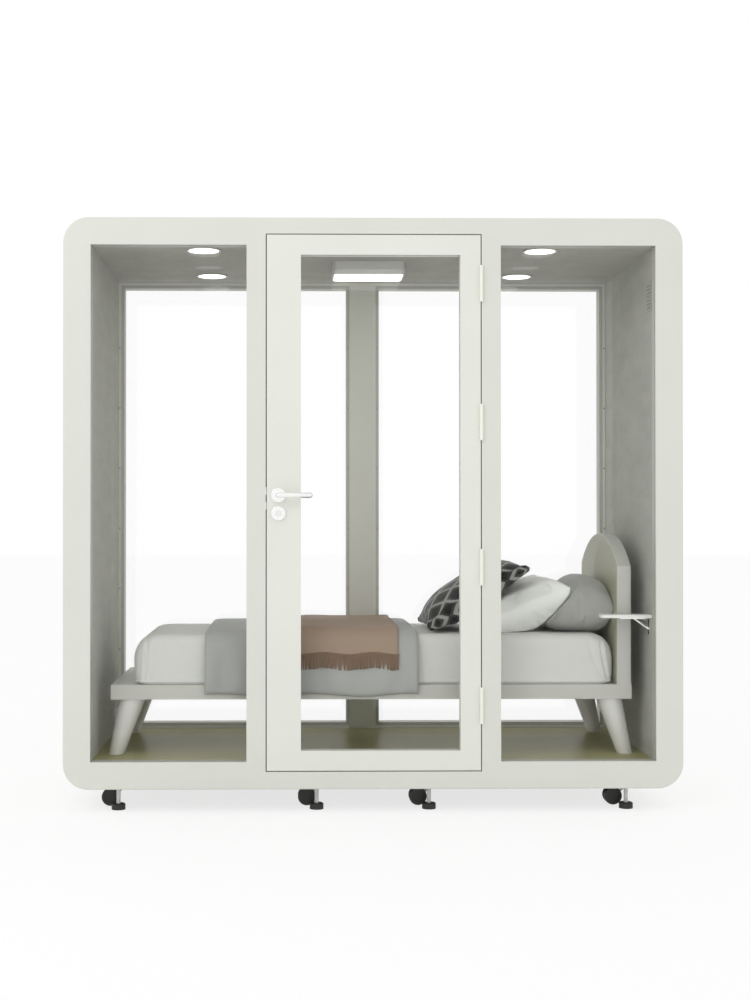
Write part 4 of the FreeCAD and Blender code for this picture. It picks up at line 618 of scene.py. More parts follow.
def turned_copies(places, radii, rises, sides, order):
    """Turned shape set at each place: rings of the given radii and rises.

    A ring's point is (r * cos a, r * sin a, rise); the order says which of the three are x, y and z.
    """
    a = ring_angles(sides)
    rises = np.repeat(rises[:, None], sides + 1, axis=1)
    shape = np.stack([radii[:, None] * np.cos(a), radii[:, None] * np.sin(a), rises], axis=-1)[..., order]
    points = np.array(places)[:, None, :] + shape.reshape(1, -1, 3)
    return points, grid_copies(len(radii), sides + 1, len(places))


def mesh_piece(name, points, quads, material, cloth_map=None, merge=0.0):
    """New object at the origin from arrays of points and quads, smooth, with an optional flat map in metres."""
    mesh = bpy.data.meshes.new(name)
    mesh.from_pydata(points.reshape(-1, 3).tolist(), [], quads.tolist())
    if cloth_map is not None:
        layer = mesh.uv_layers.new(name="cloth")
        corners = np.zeros(len(mesh.loops), dtype=np.int32)
        mesh.loops.foreach_get("vertex_index", corners)
        layer.data.foreach_set("uv", cloth_map.reshape(-1, 2)[corners].astype(np.float32).ravel())
    if merge:
        shape = bmesh.new()
        shape.from_mesh(mesh)
        bmesh.ops.remove_doubles(shape, verts=shape.verts, dist=merge)
        bmesh.ops.recalc_face_normals(shape, faces=shape.faces)
        shape.to_mesh(mesh)
        shape.free()
    mesh.shade_smooth()
    piece = bpy.data.objects.new(name, mesh)
    bpy.context.scene.collection.objects.link(piece)
    mesh.materials.append(material)
    return piece


def points_of(piece):
    """Mesh points as an array."""
    values = np.zeros(len(piece.data.vertices) * 3)
    piece.data.vertices.foreach_get("co", values)
    return values.reshape(-1, 3)


def set_points(piece, points):
    """Write an array of points back to the mesh."""
    piece.data.vertices.foreach_set("co", points.astype(np.float32).ravel())
    piece.data.update()


def ripple(points, scale, seed):
    """Smooth random height: sines in seeded directions, about -1 to 1."""
    turn = np.random.default_rng(seed)
    total = np.zeros(points.shape[:-1])
    for _ in range(RIPPLE_WAVES):
        way = turn.normal(size=3)
        way /= np.linalg.norm(way)
        rate = turn.uniform(*RIPPLE_RATES)
        total += np.sin(points @ way * FULL_TURN * rate / scale + turn.uniform(*RIPPLE_STARTS))
    return total / RIPPLE_WAVES


def run_along(line):
    """Length along a line of points, measured from its start."""
    return np.concatenate([[0.0], np.cumsum(np.linalg.norm(np.diff(line, axis=0), axis=-1))])


def run_from_middle(line):
    """Length along a line of points, measured from its middle."""
    run = run_along(line)
    return run - run[len(run) // 2]


def ride_booth(piece, slot, *replaced):
    """Fix a piece to the booth and hide the CAD nodes that it stands for; its slot is not used."""
    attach(piece, BODY)
    if replaced:
        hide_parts(*replaced)
    return piece


class BoothOperator:
    """What all the dressing operators share."""

    bl_options = {"REGISTER", "UNDO"}


# CAD pieces
class BOOTH_OT_shell(BoothOperator, bpy.types.Operator):
    """Paint the frames, cladding and chassis."""

    bl_idname = "booth.shell"
    bl_label = "Shell"

    def execute(self, context):
        dress("front_frame", "back_frame", "cladding_panels", "corner_profiles", "base_chassis")
        return {"FINISHED"}


class BOOTH_OT_lining(BoothOperator, bpy.types.Operator):
    """Finish the felt lining, floor and insulation."""

    bl_idname = "booth.lining"
    bl_label = "Lining"

    def execute(self, context):
        dress("floor_deck", "acoustic_panels", "ceiling_panel", "sound_insulation")
        return {"FINISHED"}


class BOOTH_OT_glazing(BoothOperator, bpy.types.Operator):
    """Finish panes, seals and beads."""

    bl_idname = "booth.glazing"
    bl_label = "Glazing"

    def execute(self, context):
        dress("fixed_panes", "rubber_seals", "glazing_beads", "door_pane", "door_gaskets", "door_bead")
        return {"FINISHED"}


class BOOTH_OT_door(BoothOperator, bpy.types.Operator):
    """Finish the door leaf, hinges, lock and handle."""

    bl_idname = "booth.door"
    bl_label = "Door"

    def execute(self, context):
        dress("door_frame", "hinge_frame_leaves", "hinge_door_leaves", "lock_case", "door_roses")
        dress("lever_handle", "latch_bolt", "dead_bolt", "strike_plate")
        coat("thumb_turn", metal("key_plug_metal", colours().key_plug, 0.24, SCRATCH_Z))
        return {"FINISHED"}


class BOOTH_OT_fittings(BoothOperator, bpy.types.Operator):
    """Finish lights, ventilation, power inlet and shelf."""

    bl_idname = "booth.fittings"
    bl_label = "Fittings"

    def execute(self, context):
        dress("downlight_trims", "downlight_lenses", "light_box", "light_diffuser")
        dress("fan_housing", "fan_rotor", "power_inlet", "shelf_board", "shelf_bracket")
        # The grille's bores take the black plastic's tone as painted shade
        shades = colours().grille, colours().plastic
        coat("vent_grille", perforated("grille_paint", *shades, *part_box("vent_grille")))
        return {"FINISHED"}


class BOOTH_OT_carriers(BoothOperator, bpy.types.Operator):
    """Finish casters and levelling feet."""

    bl_idname = "booth.carriers"
    bl_label = "Casters and feet"

    def execute(self, context):
        dress("caster_yokes")
        for name in sorted(SLOTS):
            if name.startswith(("caster_wheels_", "levelling_foot_")):
                dress(name)
        return {"FINISHED"}


class BOOTH_OT_bed(BoothOperator, bpy.types.Operator):
    """Finish the bed frame, legs and headboard."""

    bl_idname = "booth.bed"
    bl_label = "Bed"

    def execute(self, context):
        dress("bed_frame", "headboard")
        # Painted light: the legs get a lighter copy of the bed's lacquer
        coat("bed_legs", lacquer("leg_lacquer", colours().leg, UPRIGHT))
        return {"FINISHED"}


# Mattress
MATTRESS_CORNER = 0.055
# Quarter ellipses as (depth, height) at the shoulder and the foot of the long sides and of the ends
SIDE_SHOULDER, SIDE_FOOT = (0.028, 0.036), (0.004, 0.010)
END_SHOULDER, END_FOOT = (0.078, 0.100), (0.020, 0.050)
# Ridge round the foot: its depth and width, and its height over the foot
RIDGE_SIZE = 0.0045
RIDGE_HEIGHT = 0.011
# Rings up the wall and over each face, and points along, across and round a corner
WALL_RINGS = 90
FACE_RINGS = 24
RING_POINTS = (180, 60, 24)
# Creases of the sheet: soft waves as (depth, span, seed), and pull lines as (start, bend, depth, width)
SHEET_WAVES = (0.0014, 0.26, 5)
PULL_LINES = ((0.054, 1, 0.007, 0.006), (0.1, 2, 0.004, 0.01))
FOOT_END_BEND, HEAD_END_BEND = 0.012, 0.032
PULL_CURVE = 1.6
RIDGE_SHARE, RIDGE_OFFSET = 0.4, 1.6
# The creases move points away from the middle of a mattress of these proportions
CREASE_SPREAD = (1.0, 0.34, 0.3)
TOP_PROUD = 0.002


def rounded_ring(counts):
    """Going round a rectangle with round corners: the corner centres from -1 to 1 and the outward direction.

    Each point is centre * (half size - corner) + direction * corner.
    """
    along, across, arc = counts
    swing = np.linspace(0.0, math.pi / 2, arc, endpoint=False)
    run_y = np.linspace(-1.0, 1.0, across, endpoint=False)
    run_x = np.sin(np.linspace(math.pi / 2, -math.pi / 2, along, endpoint=False))
    one_x, one_y, one_arc = np.ones(along), np.ones(across), np.ones(arc)
    centre_x = np.concatenate([one_y, one_arc, run_x, -one_arc, -one_y, -one_arc, -run_x, one_arc])
    centre_y = np.concatenate([run_y, one_arc, one_x, one_arc, -run_y, -one_arc, -one_x, -one_arc])
    turns = [0 * one_y, swing, one_x * math.pi / 2, swing + math.pi / 2]
    turn = np.concatenate(turns + [part + math.pi for part in turns])
    return centre_x, centre_y, np.cos(turn), np.sin(turn)


def quarter(rise, depth, height):
    """Inset of a quarter ellipse: nothing at its start, the whole depth once it has risen its height."""
    share = np.clip(rise / height, 0.0, 1.0)
    return depth * (1 - np.sqrt(1 - share**2))


def wall_inset(h, tall, shoulder, foot):
    """Inset of a wall at a height: quarter ellipses at its shoulder and at its foot."""
    return quarter(h - (tall - shoulder[1]), *shoulder) + quarter(foot[1] - h, *foot)


def mattress_rings():
    """Closed pad: rounded rectangles stacked from the middle of the foot face to the middle of the top face.

    Sides and ends are inset by quarter ellipses at foot and shoulder, the ends by wider ones; a fine ridge
    runs round just over the foot. The two faces shrink the outline towards a line.
    """
    half = (np.array(MATTRESS_HIGH) - np.array(MATTRESS_LOW)) / 2
    middle = (np.array(MATTRESS_HIGH) + np.array(MATTRESS_LOW)) / 2
    tall = 2 * half[2]
    h = tall * (0.5 - 0.5 * np.cos(np.linspace(0.0, math.pi, WALL_RINGS)))
    ridge = RIDGE_SIZE * np.exp(-(((h - RIDGE_HEIGHT) / RIDGE_SIZE) ** 2))
    wide = half[1] - (wall_inset(h, tall, SIDE_SHOULDER, SIDE_FOOT) - ridge)
    long = half[0] - (wall_inset(h, tall, END_SHOULDER, END_FOOT) - ridge)
    shrink = np.linspace(0.0, 1.0, FACE_RINGS)[1:]
    foot, top = wide[0], wide[-1]
    long = np.concatenate([long[0] - foot * shrink[::-1], long, long[-1] - top * shrink])
    wide = np.concatenate([foot * (1 - shrink[::-1]), wide, top * (1 - shrink)])
    h = np.concatenate([np.zeros(len(shrink)), h, np.full(len(shrink), tall)])
    corner = np.minimum(MATTRESS_CORNER, wide)
    centre_x, centre_y, out_x, out_y = rounded_ring(RING_POINTS)
    x = middle[0] + centre_x * (long - corner)[:, None] + out_x * corner[:, None]
    y = middle[1] + centre_y * (wide - corner)[:, None] + out_y * corner[:, None]
    return np.stack([x, y, np.repeat((MATTRESS_LOW.z + h)[:, None], len(out_x), axis=1)], axis=-1)


def sheet_creases(points):
    """Depth of the sheet's creases: soft waves all over, and near each end two pull lines that curve down.

    A pull line is a groove, the negative of exp(-(d / w)^2), about a line that leaves the shoulder and
    bends towards the corner at the foot, where it fades out. A lower ridge of the same form runs beside it.
    """
    depth, span, seed = SHEET_WAVES
    total = depth * ripple(points, span, seed)
    up = (points[:, 2] - MATTRESS_LOW.z) / (MATTRESS_HIGH.z - MATTRESS_LOW.z)
    fade = np.clip(up * 5, 0, 1) * np.clip((1.02 - up) * 4, 0, 1)
    for end, way, end_bend in ((MATTRESS_LOW.x, 1.0, FOOT_END_BEND), (MATTRESS_HIGH.x, -1.0, HEAD_END_BEND)):
        into = (points[:, 0] - end) * way
        for start, bend, depth, width in PULL_LINES:
            line = start - bend * end_bend * (1 - up) ** PULL_CURVE
            beside = into - line + RIDGE_OFFSET * width
            total -= depth * np.exp(-(((into - line) / width) ** 2)) * fade
            total += RIDGE_SHARE * depth * np.exp(-((beside / width) ** 2)) * fade
    return total


class BOOTH_OT_mattress(BoothOperator, bpy.types.Operator):
    """Mattress in a fitted sheet, with round shoulders, a ridge over its foot and pulled corners."""

    bl_idname = "booth.mattress"
    bl_label = "Mattress"

    def execute(self, context):
        ring = mattress_rings()
        ring = np.concatenate([ring, ring[:, :1]], axis=1)
        rows, columns = ring.shape[:2]
        climb, around = run_along(ring[:, 0]), run_along(ring[rows // 2])
        cloth_map = np.stack(np.meshgrid(climb, around, indexing="ij")[::-1], axis=-1)
        cotton_sheet = finish("sheet_white")
        quads = grid_quads(rows, columns)
        piece = mesh_piece("mattress_pad", ring, quads, cotton_sheet, cloth_map, MATTRESS_SEAM)
        points = points_of(piece)
        centre = np.array((MATTRESS_LOW + MATTRESS_HIGH) / 2)
        away = (points - centre) / np.array(CREASE_SPREAD)
        away /= np.linalg.norm(away, axis=1, keepdims=True)
        points = points + away * sheet_creases(points)[:, None]
        points[:, 2] = np.clip(points[:, 2], MATTRESS_LOW.z, MATTRESS_HIGH.z + TOP_PROUD)
        set_points(piece, points)
        ride_booth(piece, "sheet_white", "mattress")
        return {"FINISHED"}


# Blanket and throw
# Radius of the blanket's shoulders, and how far they stand past the bed
SHOULDER = 0.05
PAST_BED = 0.002
BED_MIDDLE = (BED_LOW.y + BED_HIGH.y) / 2
HALF_TOP = (BED_HIGH.y - BED_LOW.y) / 2 - SHOULDER + PAST_BED
# Points along the bed and across it
BLANKET_STEPS = (170, 190)
THROW_STEPS = (120, 170)
# Points over which the padding rounds off at the ends across and along the bed
BLANKET_ROUNDING = (4.0, 3.0)
THROW_ROUNDING = (2.0, 2.0)
# Rumples of the flat top, as (height, span, seed); the throw has the blanket's and its own
BLANKET_RUMPLE = (0.0035, 0.3, 11)
THROW_RUMPLE = (0.003, 0.16, 23)
# Waves of the hem, as (height, waves, span, start, reach above the hem)
BLANKET_HEM = (0.006, 2.3, 0.86, 0.6, 0.09)
THROW_HEM = (0.0045, 2.6, 0.5, 0.9, 0.1)
# Hanging folds: depth below the top where they begin, broad and narrow sines as (share, rate, start), drift of
# the broad one along the bed, and the power by which they deepen
FOLDS_BEGIN = 0.03
BROAD_FOLD = (0.33, 1.0, 1.1)
NARROW_FOLD = (0.17, 1.7, 0.4)
FOLD_DRIFT = 0.8
FOLD_POWER = 1.2
# The blanket's hem curls back towards the bed over this height, by this share of its swing and power
HEM_CURL = 0.065
CURL_SHARE = 0.9
CURL_POWER = 1.5
# The blanket's edges on the bed sink by this much over this width
EDGE_SINK = 0.004
EDGE_WIDTH = 0.05
# The throw's own waves, and its height over the blanket's top
THROW_WAVE, THROW_WAVES = 0.0025, 3.1
THROW_LIFT = 0.006
# Tassels: seed, rings and sides, range of length, sway, start over the hem, radius, taper, beads and their rate
FRINGE_SEED = 7
STRAND_RINGS = 7
STRAND_SIDES = 6
STRAND_REACH = (0.94, 1.0)
STRAND_SWAY = 0.0015
STRAND_TUCK = 0.004
STRAND_RADIUS = 0.0034
STRAND_TAPER = 0.2
STRAND_BEADS = 0.18
BEAD_RATE = 19.0


def drape_frame(across, radius, top):
    """Cross line of cloth over the bed, by the distance from its middle.

    Flat over the top, a quarter turn of the given radius at each shoulder, then straight down.
    Gives y, z and the outward normal in y and z.
    """
    side = np.sign(across)
    run = np.abs(across)
    turn = np.clip((run - HALF_TOP) / radius, 0.0, math.pi / 2)
    drop = np.maximum(run - HALF_TOP - radius * math.pi / 2, 0.0)
    y = BED_MIDDLE + side * (np.minimum(run, HALF_TOP) + radius * np.sin(turn))
    z = top - radius * (1 - np.cos(turn)) - drop
    return y, z, side * np.sin(turn), np.cos(turn)


def draped(left, right, radius, top, hem, steps, inset, swing):
    """Middle sheet of cloth laid across the bed, its normals, its flat map and its whole run across.

    Along the bed it is straight; across it follows drape_frame, moved out along its normal by the swing.
    """
    run = HALF_TOP + radius * math.pi / 2 + (top - radius - hem)
    spots = np.linspace(-run, run, steps[1]), np.linspace(left, right, steps[0])
    across, along = np.meshgrid(*spots, indexing="ij")
    y, z, normal_y, normal_z = drape_frame(across, radius, top)
    push = swing(along, z) * np.abs(normal_y) + inset
    middle = np.stack([along, y + normal_y * push, z + normal_z * inset], axis=-1)
    normal = np.stack([np.zeros_like(y), normal_y, normal_z], axis=-1)
    return middle, normal, np.stack([along, across], axis=-1), 2 * run


def fold_swing(x, hang_share, folds, left, right):
    """Swing of the hanging folds, 0 to 1: uneven sines along the bed that deepen towards the hem."""
    turns = FULL_TURN * folds
    along = (x - left) / (right - left)
    share, rate, start = BROAD_FOLD
    total = 0.5 + share * np.sin(turns * rate * along + start + FOLD_DRIFT * np.sin(FULL_TURN * along))
    share, rate, start = NARROW_FOLD
    total = total + share * np.sin(turns * rate * along + start)
    return total * np.clip(hang_share, 0.0, 1.0) ** FOLD_POWER


def blanket_hang(x, z):
    """Outward swing of the blanket's folds at a place along the bed and a height; the hem curls back in."""
    share = (BLANKET_HIGH.z - FOLDS_BEGIN - z) / (BLANKET_HIGH.z - BLANKET_LOW.z - FOLDS_BEGIN)
    swing = fold_swing(x, share, sizes().blanket_folds, BLANKET_LOW.x, BLANKET_HIGH.x)
    curl = np.clip((BLANKET_LOW.z + HEM_CURL - z) / HEM_CURL, 0.0, 1.0)
    return sizes().blanket_fold_depth * 2 * swing * (1 - CURL_SHARE * curl**CURL_POWER)


def throw_hang(x, z):
    """The throw follows the blanket's folds, with small waves of its own that grow towards its hem."""
    along = FULL_TURN * THROW_WAVES * (x - THROW_LOW.x) / (THROW_HIGH.x - THROW_LOW.x)
    share = np.clip((THROW_HIGH.z - z) / (THROW_HIGH.z - THROW_LOW.z), 0.0, 1.0)
    return blanket_hang(x, z) + THROW_WAVE * (1 + np.sin(along)) * share


def rumple(middle, normal, height, span, seed):
    """Lift the flat top of a sheet by soft random waves; the hanging parts stay."""
    middle[..., 2] += np.abs(normal[..., 2]) * height * (1 + ripple(middle, span, seed))


def wave_hem(middle, left, hem, height, waves, span, start, reach):
    """Lift a sheet's hem by a sine along the bed, fading out over a reach above the hem."""
    rise = height * np.sin(FULL_TURN * waves * (middle[..., 0] - left) / span + start)
    low = np.clip((hem + reach - middle[..., 2]) / reach, 0.0, 1.0)
    middle[..., 2] += low * (rise + height)


def padded_sheet(name, middle, normal, flat, thickness, rounding, material):
    """Piece of two layers either side of a middle sheet, closed at its border, both on the same flat map.

    Half the thickness is kept inside and rounds off to nothing at the border, along a quarter circle.
    """
    rows, columns = middle.shape[:2]
    from_row_end = np.minimum(np.arange(rows), np.arange(rows)[::-1]) / rounding[0]
    from_column_end = np.minimum(np.arange(columns), np.arange(columns)[::-1]) / rounding[1]
    near = np.minimum(from_row_end[:, None], from_column_end[None, :])
    round_off = np.sqrt(1 - (1 - np.clip(near, 0.0, 1.0)) ** 2)
    half = (thickness / 2 * round_off)[..., None]
    points = np.stack([middle + normal * half, middle - normal * half])
    lower = grid_quads(rows, columns, rows * columns)[:, ::-1]
    quads = np.concatenate([grid_quads(rows, columns), lower])
    return mesh_piece(name, points, quads, material, np.stack([flat, flat]), SEAM)


class BOOTH_OT_blanket(BoothOperator, bpy.types.Operator):
    """Padded blanket over the mattress, with soft folds down to a wavy hem."""

    bl_idname = "booth.blanket"
    bl_label = "Blanket"

    def execute(self, context):
        thick = sizes().blanket_thickness
        left, right, hem = BLANKET_LOW.x, BLANKET_HIGH.x, BLANKET_LOW.z
        top = MATTRESS_HIGH.z + CLEAR
        middle, normal, flat, run = draped(
            left, right, SHOULDER, top, hem, BLANKET_STEPS, thick / 2, blanket_hang
        )
        rumple(middle, normal, *BLANKET_RUMPLE)
        wave_hem(middle, left, hem, *BLANKET_HEM)
        from_edge = np.minimum(middle[..., 0] - left, right - middle[..., 0])
        sink = EDGE_SINK * (1 - np.clip(from_edge / EDGE_WIDTH, 0, 1)) ** 2
        middle = middle - normal * sink[..., None] * np.abs(normal[..., 2:])
        cloth = finish("blanket_grey")
        piece = padded_sheet("blanket_cloth", middle, normal, flat, thick, BLANKET_ROUNDING, cloth)
        ride_booth(piece, "blanket_grey", "blanket")
        return {"FINISHED"}


def fringe(ends):
    """Tassels along both ends: six-sided tapering tubes that hang from the hem and sway a little.

    A strand starts just over the hem line. At the share d of its length its ring is a hexagon of radius
    r * (1 - taper * d) * (1 + beads * sin(rate * d)), about a line that drops by a seeded share of the fringe
    length and swings by a seeded amount times d squared. The first and last rings have no radius, so both ends
    are closed.
    """
    turn = np.random.default_rng(FRINGE_SEED)
    count = int((THROW_HIGH.x - THROW_LOW.x) / sizes().fringe_pitch)
    down = np.concatenate([[0.0], np.linspace(0.0, 1.0, STRAND_RINGS), [1.0]])
    spots = np.linspace(0, 1, count)
    known = np.linspace(0, 1, ends.shape[1])
    roots = np.array([[np.interp(spots, known, end[:, axis]) for axis in range(3)] for end in ends])
    roots = roots.transpose(0, 2, 1).reshape(-1, 3)
    strands = len(roots)
    reach = sizes().fringe_length * turn.uniform(*STRAND_REACH, strands)
    sway = turn.normal(0.0, STRAND_SWAY, (strands, 2))
    line = np.repeat(roots[:, None, :], len(down), axis=1)
    line[..., 2] += STRAND_TUCK - reach[:, None] * down[None, :]
    line[..., :2] += sway[:, None, :] * down[None, :, None] ** 2
    thick = STRAND_RADIUS * (1 - STRAND_TAPER * down) * (1 + STRAND_BEADS * np.sin(down * BEAD_RATE))
    thick[[0, -1]] = 0.0
    a = ring_angles(STRAND_SIDES)
    circle = np.stack([np.cos(a), np.sin(a), np.zeros_like(a)], axis=-1)
    points = (line[:, :, None, :] + thick[None, :, None, None] * circle[None, None, :, :]).reshape(-1, 3)
    quads = grid_copies(len(down), len(a), strands)
    wool = ribbed_wool("throw_fringe_wool", colours().fringe, FRINGE_YARN)
    return mesh_piece("throw_fringe", points, quads, wool, points[:, [0, 2]], SEAM)


class BOOTH_OT_throw(BoothOperator, bpy.types.Operator):
    """Ribbed throw across the blanket with a row of tassels at each end."""

    bl_idname = "booth.throw"
    bl_label = "Throw"

    def execute(self, context):
        thick = sizes().throw_thickness
        under = sizes().blanket_thickness
        left, right = THROW_LOW.x, THROW_HIGH.x
        top = MATTRESS_HIGH.z + under + 2 * CLEAR + THROW_LIFT
        hem = THROW_LOW.z + sizes().fringe_length
        middle, normal, flat, run = draped(
            left, right, SHOULDER + under, top, hem, THROW_STEPS, thick / 2, throw_hang
        )
        rumple(middle, normal, *BLANKET_RUMPLE)
        rumple(middle, normal, *THROW_RUMPLE)
        wave_hem(middle, left, hem, *THROW_HEM)
        wool = finish("throw_tan")
        piece = padded_sheet("throw_cloth", middle, normal, flat, thick, THROW_ROUNDING, wool)
        ride_booth(piece, "throw_tan", "throw")
        tassels = fringe(np.stack([middle[0], middle[-1]]))
        ride_booth(tassels, "throw_tan")
        return {"FINISHED"}


# Pillows
# Planes that the pillows press against, each a point on it and its outward direction
BED_TOP = MATTRESS_HIGH.z + CLEAR
HEAD = HEADBOARD_LOW.x - CLEAR
BED_PLANE = ((0.0, 0.0, BED_TOP), (0.0, 0.0, 1.0))
HEAD_PLANE = ((HEAD, 0.0, 0.0), (-1.0, 0.0, 0.0))
PILLOWS_MEET = ((HEAD - 0.214, 0.0, BED_TOP + 0.09), (-0.776, 0.0, 0.632))
CUSHION_MEETS = ((HEAD - 0.45, 0.0, BED_TOP + 0.154), (-0.59, 0.0, 0.81))
PRESS_SOFTNESS = 0.009
# Distance of the pillows from the front edge of the bed
SETBACK = 0.05
# How each is set: degrees of lean, centre's distance from the headboard and height over the bed, shares of the
# crown above and below the seam, fullness towards the seam, and seed of its creases
REAR_SET = {"lean": -3.0, "back": 0.126, "up": 0.106, "above": 1.0, "below": 1.0, "full": 3.4, "seed": 11}
FRONT_SET = {"lean": 24.0, "back": 0.36, "up": 0.1, "above": 0.66, "below": 1.3, "full": 4.0, "seed": 12}
PLAID_SET = {"lean": 31.0, "back": 0.536, "up": 0.138, "above": 1.1, "below": 1.08, "full": 2.6, "seed": 13}
# Points along a side, how they crowd towards the seam, and how far the sides draw in between the corners
SIDE_POINTS = 72
CROWDING = 1.25
DRAW_IN = 0.03
# Swelling: pressure, frames, furthest move of a point and slack of the cloth
SWELL_PRESSURE = 4.0
SWELL_FRAMES = 20
SWELL_LIMIT = 0.022
SWELL_SLACK = 0.03
NO_MOVE = 1e-9
# Depth and span of the creases
PILLOW_CREASE = 0.002
CREASE_SPAN = 0.12
SUBDIVISIONS = 1


def pillow_surface(long, wide, above, below, full):
    """Two crowned faces over a square of u and v from -1 to 1.

    x = long / 2 * u * (1 - draw * (1 - v^2)) and y likewise, so the sides draw in between the corners;
    z = above or -below times ((1 - |u|^full) * (1 - |v|^full))^0.5, fuller near the seam for a larger power.
    The cloth's map is the length along the two middle lines of the upper face.
    """
    side = np.sin(np.linspace(-1, 1, SIDE_POINTS) * CROWDING) / math.sin(CROWDING)
    u, v = np.meshgrid(side, side, indexing="ij")
    x = long / 2 * u * (1 - DRAW_IN * (1 - v**2))
    y = wide / 2 * v * (1 - DRAW_IN * (1 - u**2))
    crown = np.sqrt((1 - np.abs(u) ** full) * (1 - np.abs(v) ** full))
    upper = np.stack([x, y, above * crown], axis=-1)
    lower = np.stack([x, y, -below * crown], axis=-1)[::-1]
    middle = SIDE_POINTS // 2
    runs = run_from_middle(upper[:, middle]), run_from_middle(upper[middle])
    flat = np.stack(np.meshgrid(*runs, indexing="ij"), axis=-1)
    quads = grid_copies(SIDE_POINTS, SIDE_POINTS, 2)
    return np.stack([upper, lower]), quads, np.stack([flat, flat[::-1]])


def swell(piece):
    """Blender's cloth with inner pressure and no gravity; each point moves at most the limit."""
    start = points_of(piece)
    cloth = piece.modifiers.new("swell", "CLOTH")
    settings = cloth.settings
    settings.quality = 6
    settings.mass = 0.25
    settings.tension_stiffness = 12.0
    settings.compression_stiffness = 12.0
    settings.shear_stiffness = 6.0
    settings.bending_stiffness = 0.4
    settings.use_pressure = True
    settings.uniform_pressure_force = SWELL_PRESSURE
    settings.shrink_min = -SWELL_SLACK
    settings.effector_weights.gravity = 0.0
    cloth.collision_settings.use_collision = False
    scene = bpy.context.scene
    for number in range(1, SWELL_FRAMES + 1):
        scene.frame_set(number)
    shown = piece.evaluated_get(bpy.context.evaluated_depsgraph_get())
    ended = np.zeros(len(shown.data.vertices) * 3)
    shown.data.vertices.foreach_get("co", ended)
    piece.modifiers.remove(cloth)
    scene.frame_set(1)
    step = ended.reshape(-1, 3) - start
    far = np.linalg.norm(step, axis=1, keepdims=True)
    set_points(piece, start + step * np.minimum(1.0, SWELL_LIMIT / np.maximum(far, NO_MOVE)))


def lean(points, degrees, centre):
    """Turn points back about the bed's cross axis and move them to a centre."""
    angle = math.radians(degrees)
    turned = points.copy()
    turned[:, 0] = points[:, 0] * math.cos(angle) - points[:, 2] * math.sin(angle)
    turned[:, 2] = points[:, 0] * math.sin(angle) + points[:, 2] * math.cos(angle)
    return turned + np.array(centre)


def press(points, on, outward):
    """Keep points on the outer side of a plane, easing into it over a softness length."""
    normal = np.array(outward) / np.linalg.norm(outward)
    height = (points - np.array(on)) @ normal
    eased = PRESS_SOFTNESS * np.logaddexp(0.0, height / PRESS_SOFTNESS)
    return points + (eased - height)[:, None] * normal


def other_side(plane):
    """The same plane looked at from its other side."""
    on, outward = plane
    return on, tuple(-value for value in outward)


def soften(piece):
    """Finish a piece with subdivision."""
    smooth = piece.modifiers.new("soften", "SUBSURF")
    smooth.levels = SUBDIVISIONS
    smooth.render_levels = SUBDIVISIONS


def set_pillow(name, material, long, wide, thickness, how, planes):
    """Swell a pillow flat, lean it into its place and press it against its neighbours."""
    crown = thickness / 2
    shape = pillow_surface(long, wide, how["above"] * crown, how["below"] * crown, how["full"])
    points, quads, cloth_map = shape
    piece = mesh_piece(name, points, quads, material, cloth_map, SEAM)
    swell(piece)
    points = points_of(piece)
    points = points + np.sign(points) * PILLOW_CREASE * ripple(points, CREASE_SPAN, how["seed"])[:, None]
    centre = (HEAD - how["back"], MATTRESS_LOW.y + SETBACK + wide / 2, BED_TOP + how["up"])
    points = lean(points, how["lean"], centre)
    for on, outward in planes:
        points = press(points, on, outward)
    set_points(piece, points)
    soften(piece)
    return piece


class BOOTH_OT_pillows(BoothOperator, bpy.types.Operator):
    """Rear pillow against the headboard and a second one leaning on it."""

    bl_idname = "booth.pillows"
    bl_label = "Pillows"

    def execute(self, context):
        s = sizes()
        cloth = cotton("rear_pillow_cotton", colours().rear_pillow)
        planes = [BED_PLANE, HEAD_PLANE, other_side(PILLOWS_MEET)]
        size = s.rear_pillow_length, s.pillow_width, s.rear_pillow_thickness
        rear = set_pillow("rear_pillow", cloth, *size, REAR_SET, planes)
        ride_booth(rear, "pillow_white", "pillows")
        cloth = finish("pillow_white")
        planes = [BED_PLANE, PILLOWS_MEET, other_side(CUSHION_MEETS)]
        size = s.front_pillow_length, s.pillow_width, s.front_pillow_thickness
        front = set_pillow("front_pillow", cloth, *size, FRONT_SET, planes)
        ride_booth(front, "pillow_white", "pillows")
        return {"FINISHED"}


class BOOTH_OT_plaid_cushion(BoothOperator, bpy.types.Operator):
    """Plump square plaid cushion leaning on the front pillow."""

    bl_idname = "booth.plaid_cushion"
    bl_label = "Plaid cushion"

    def execute(self, context):
        s = sizes()
        size = s.cushion_size, s.cushion_size, s.cushion_thickness
        planes = [BED_PLANE, CUSHION_MEETS]
        piece = set_pillow("plaid_cover", finish("plaid_cloth"), *size, PLAID_SET, planes)
        ride_booth(piece, "plaid_cloth", "plaid_cushion")
        return {"FINISHED"}


# Small parts
# Screw heads: sides, rings up the dome, and rise of the dome as a share of the radius
SCREW_SIDES = 14
DOME_RINGS = 5
DOME_RISE = 0.45
# Places of the screws: side beads and post as they stand from the windows, first screw and length left free
BEAD_INSET = 0.007
BEAD_WIDTH = 0.026
POST_HALF = 0.073
FIRST_SCREW = 0.1
SCREWS_FREE = 0.15
# Strike lips: sides, rings, and place from the strike's edge and the leaf's face as shares of the radius
LIP_SIDES = 12
LIP_RINGS = 10
LIP_FROM_EDGE = 0.75
LIP_BEHIND_FACE = 0.6
# Order of (cosine, sine, rise) for a shape turned about y or about z
ABOUT_Y = [0, 2, 1]
ABOUT_Z = [0, 1, 2]


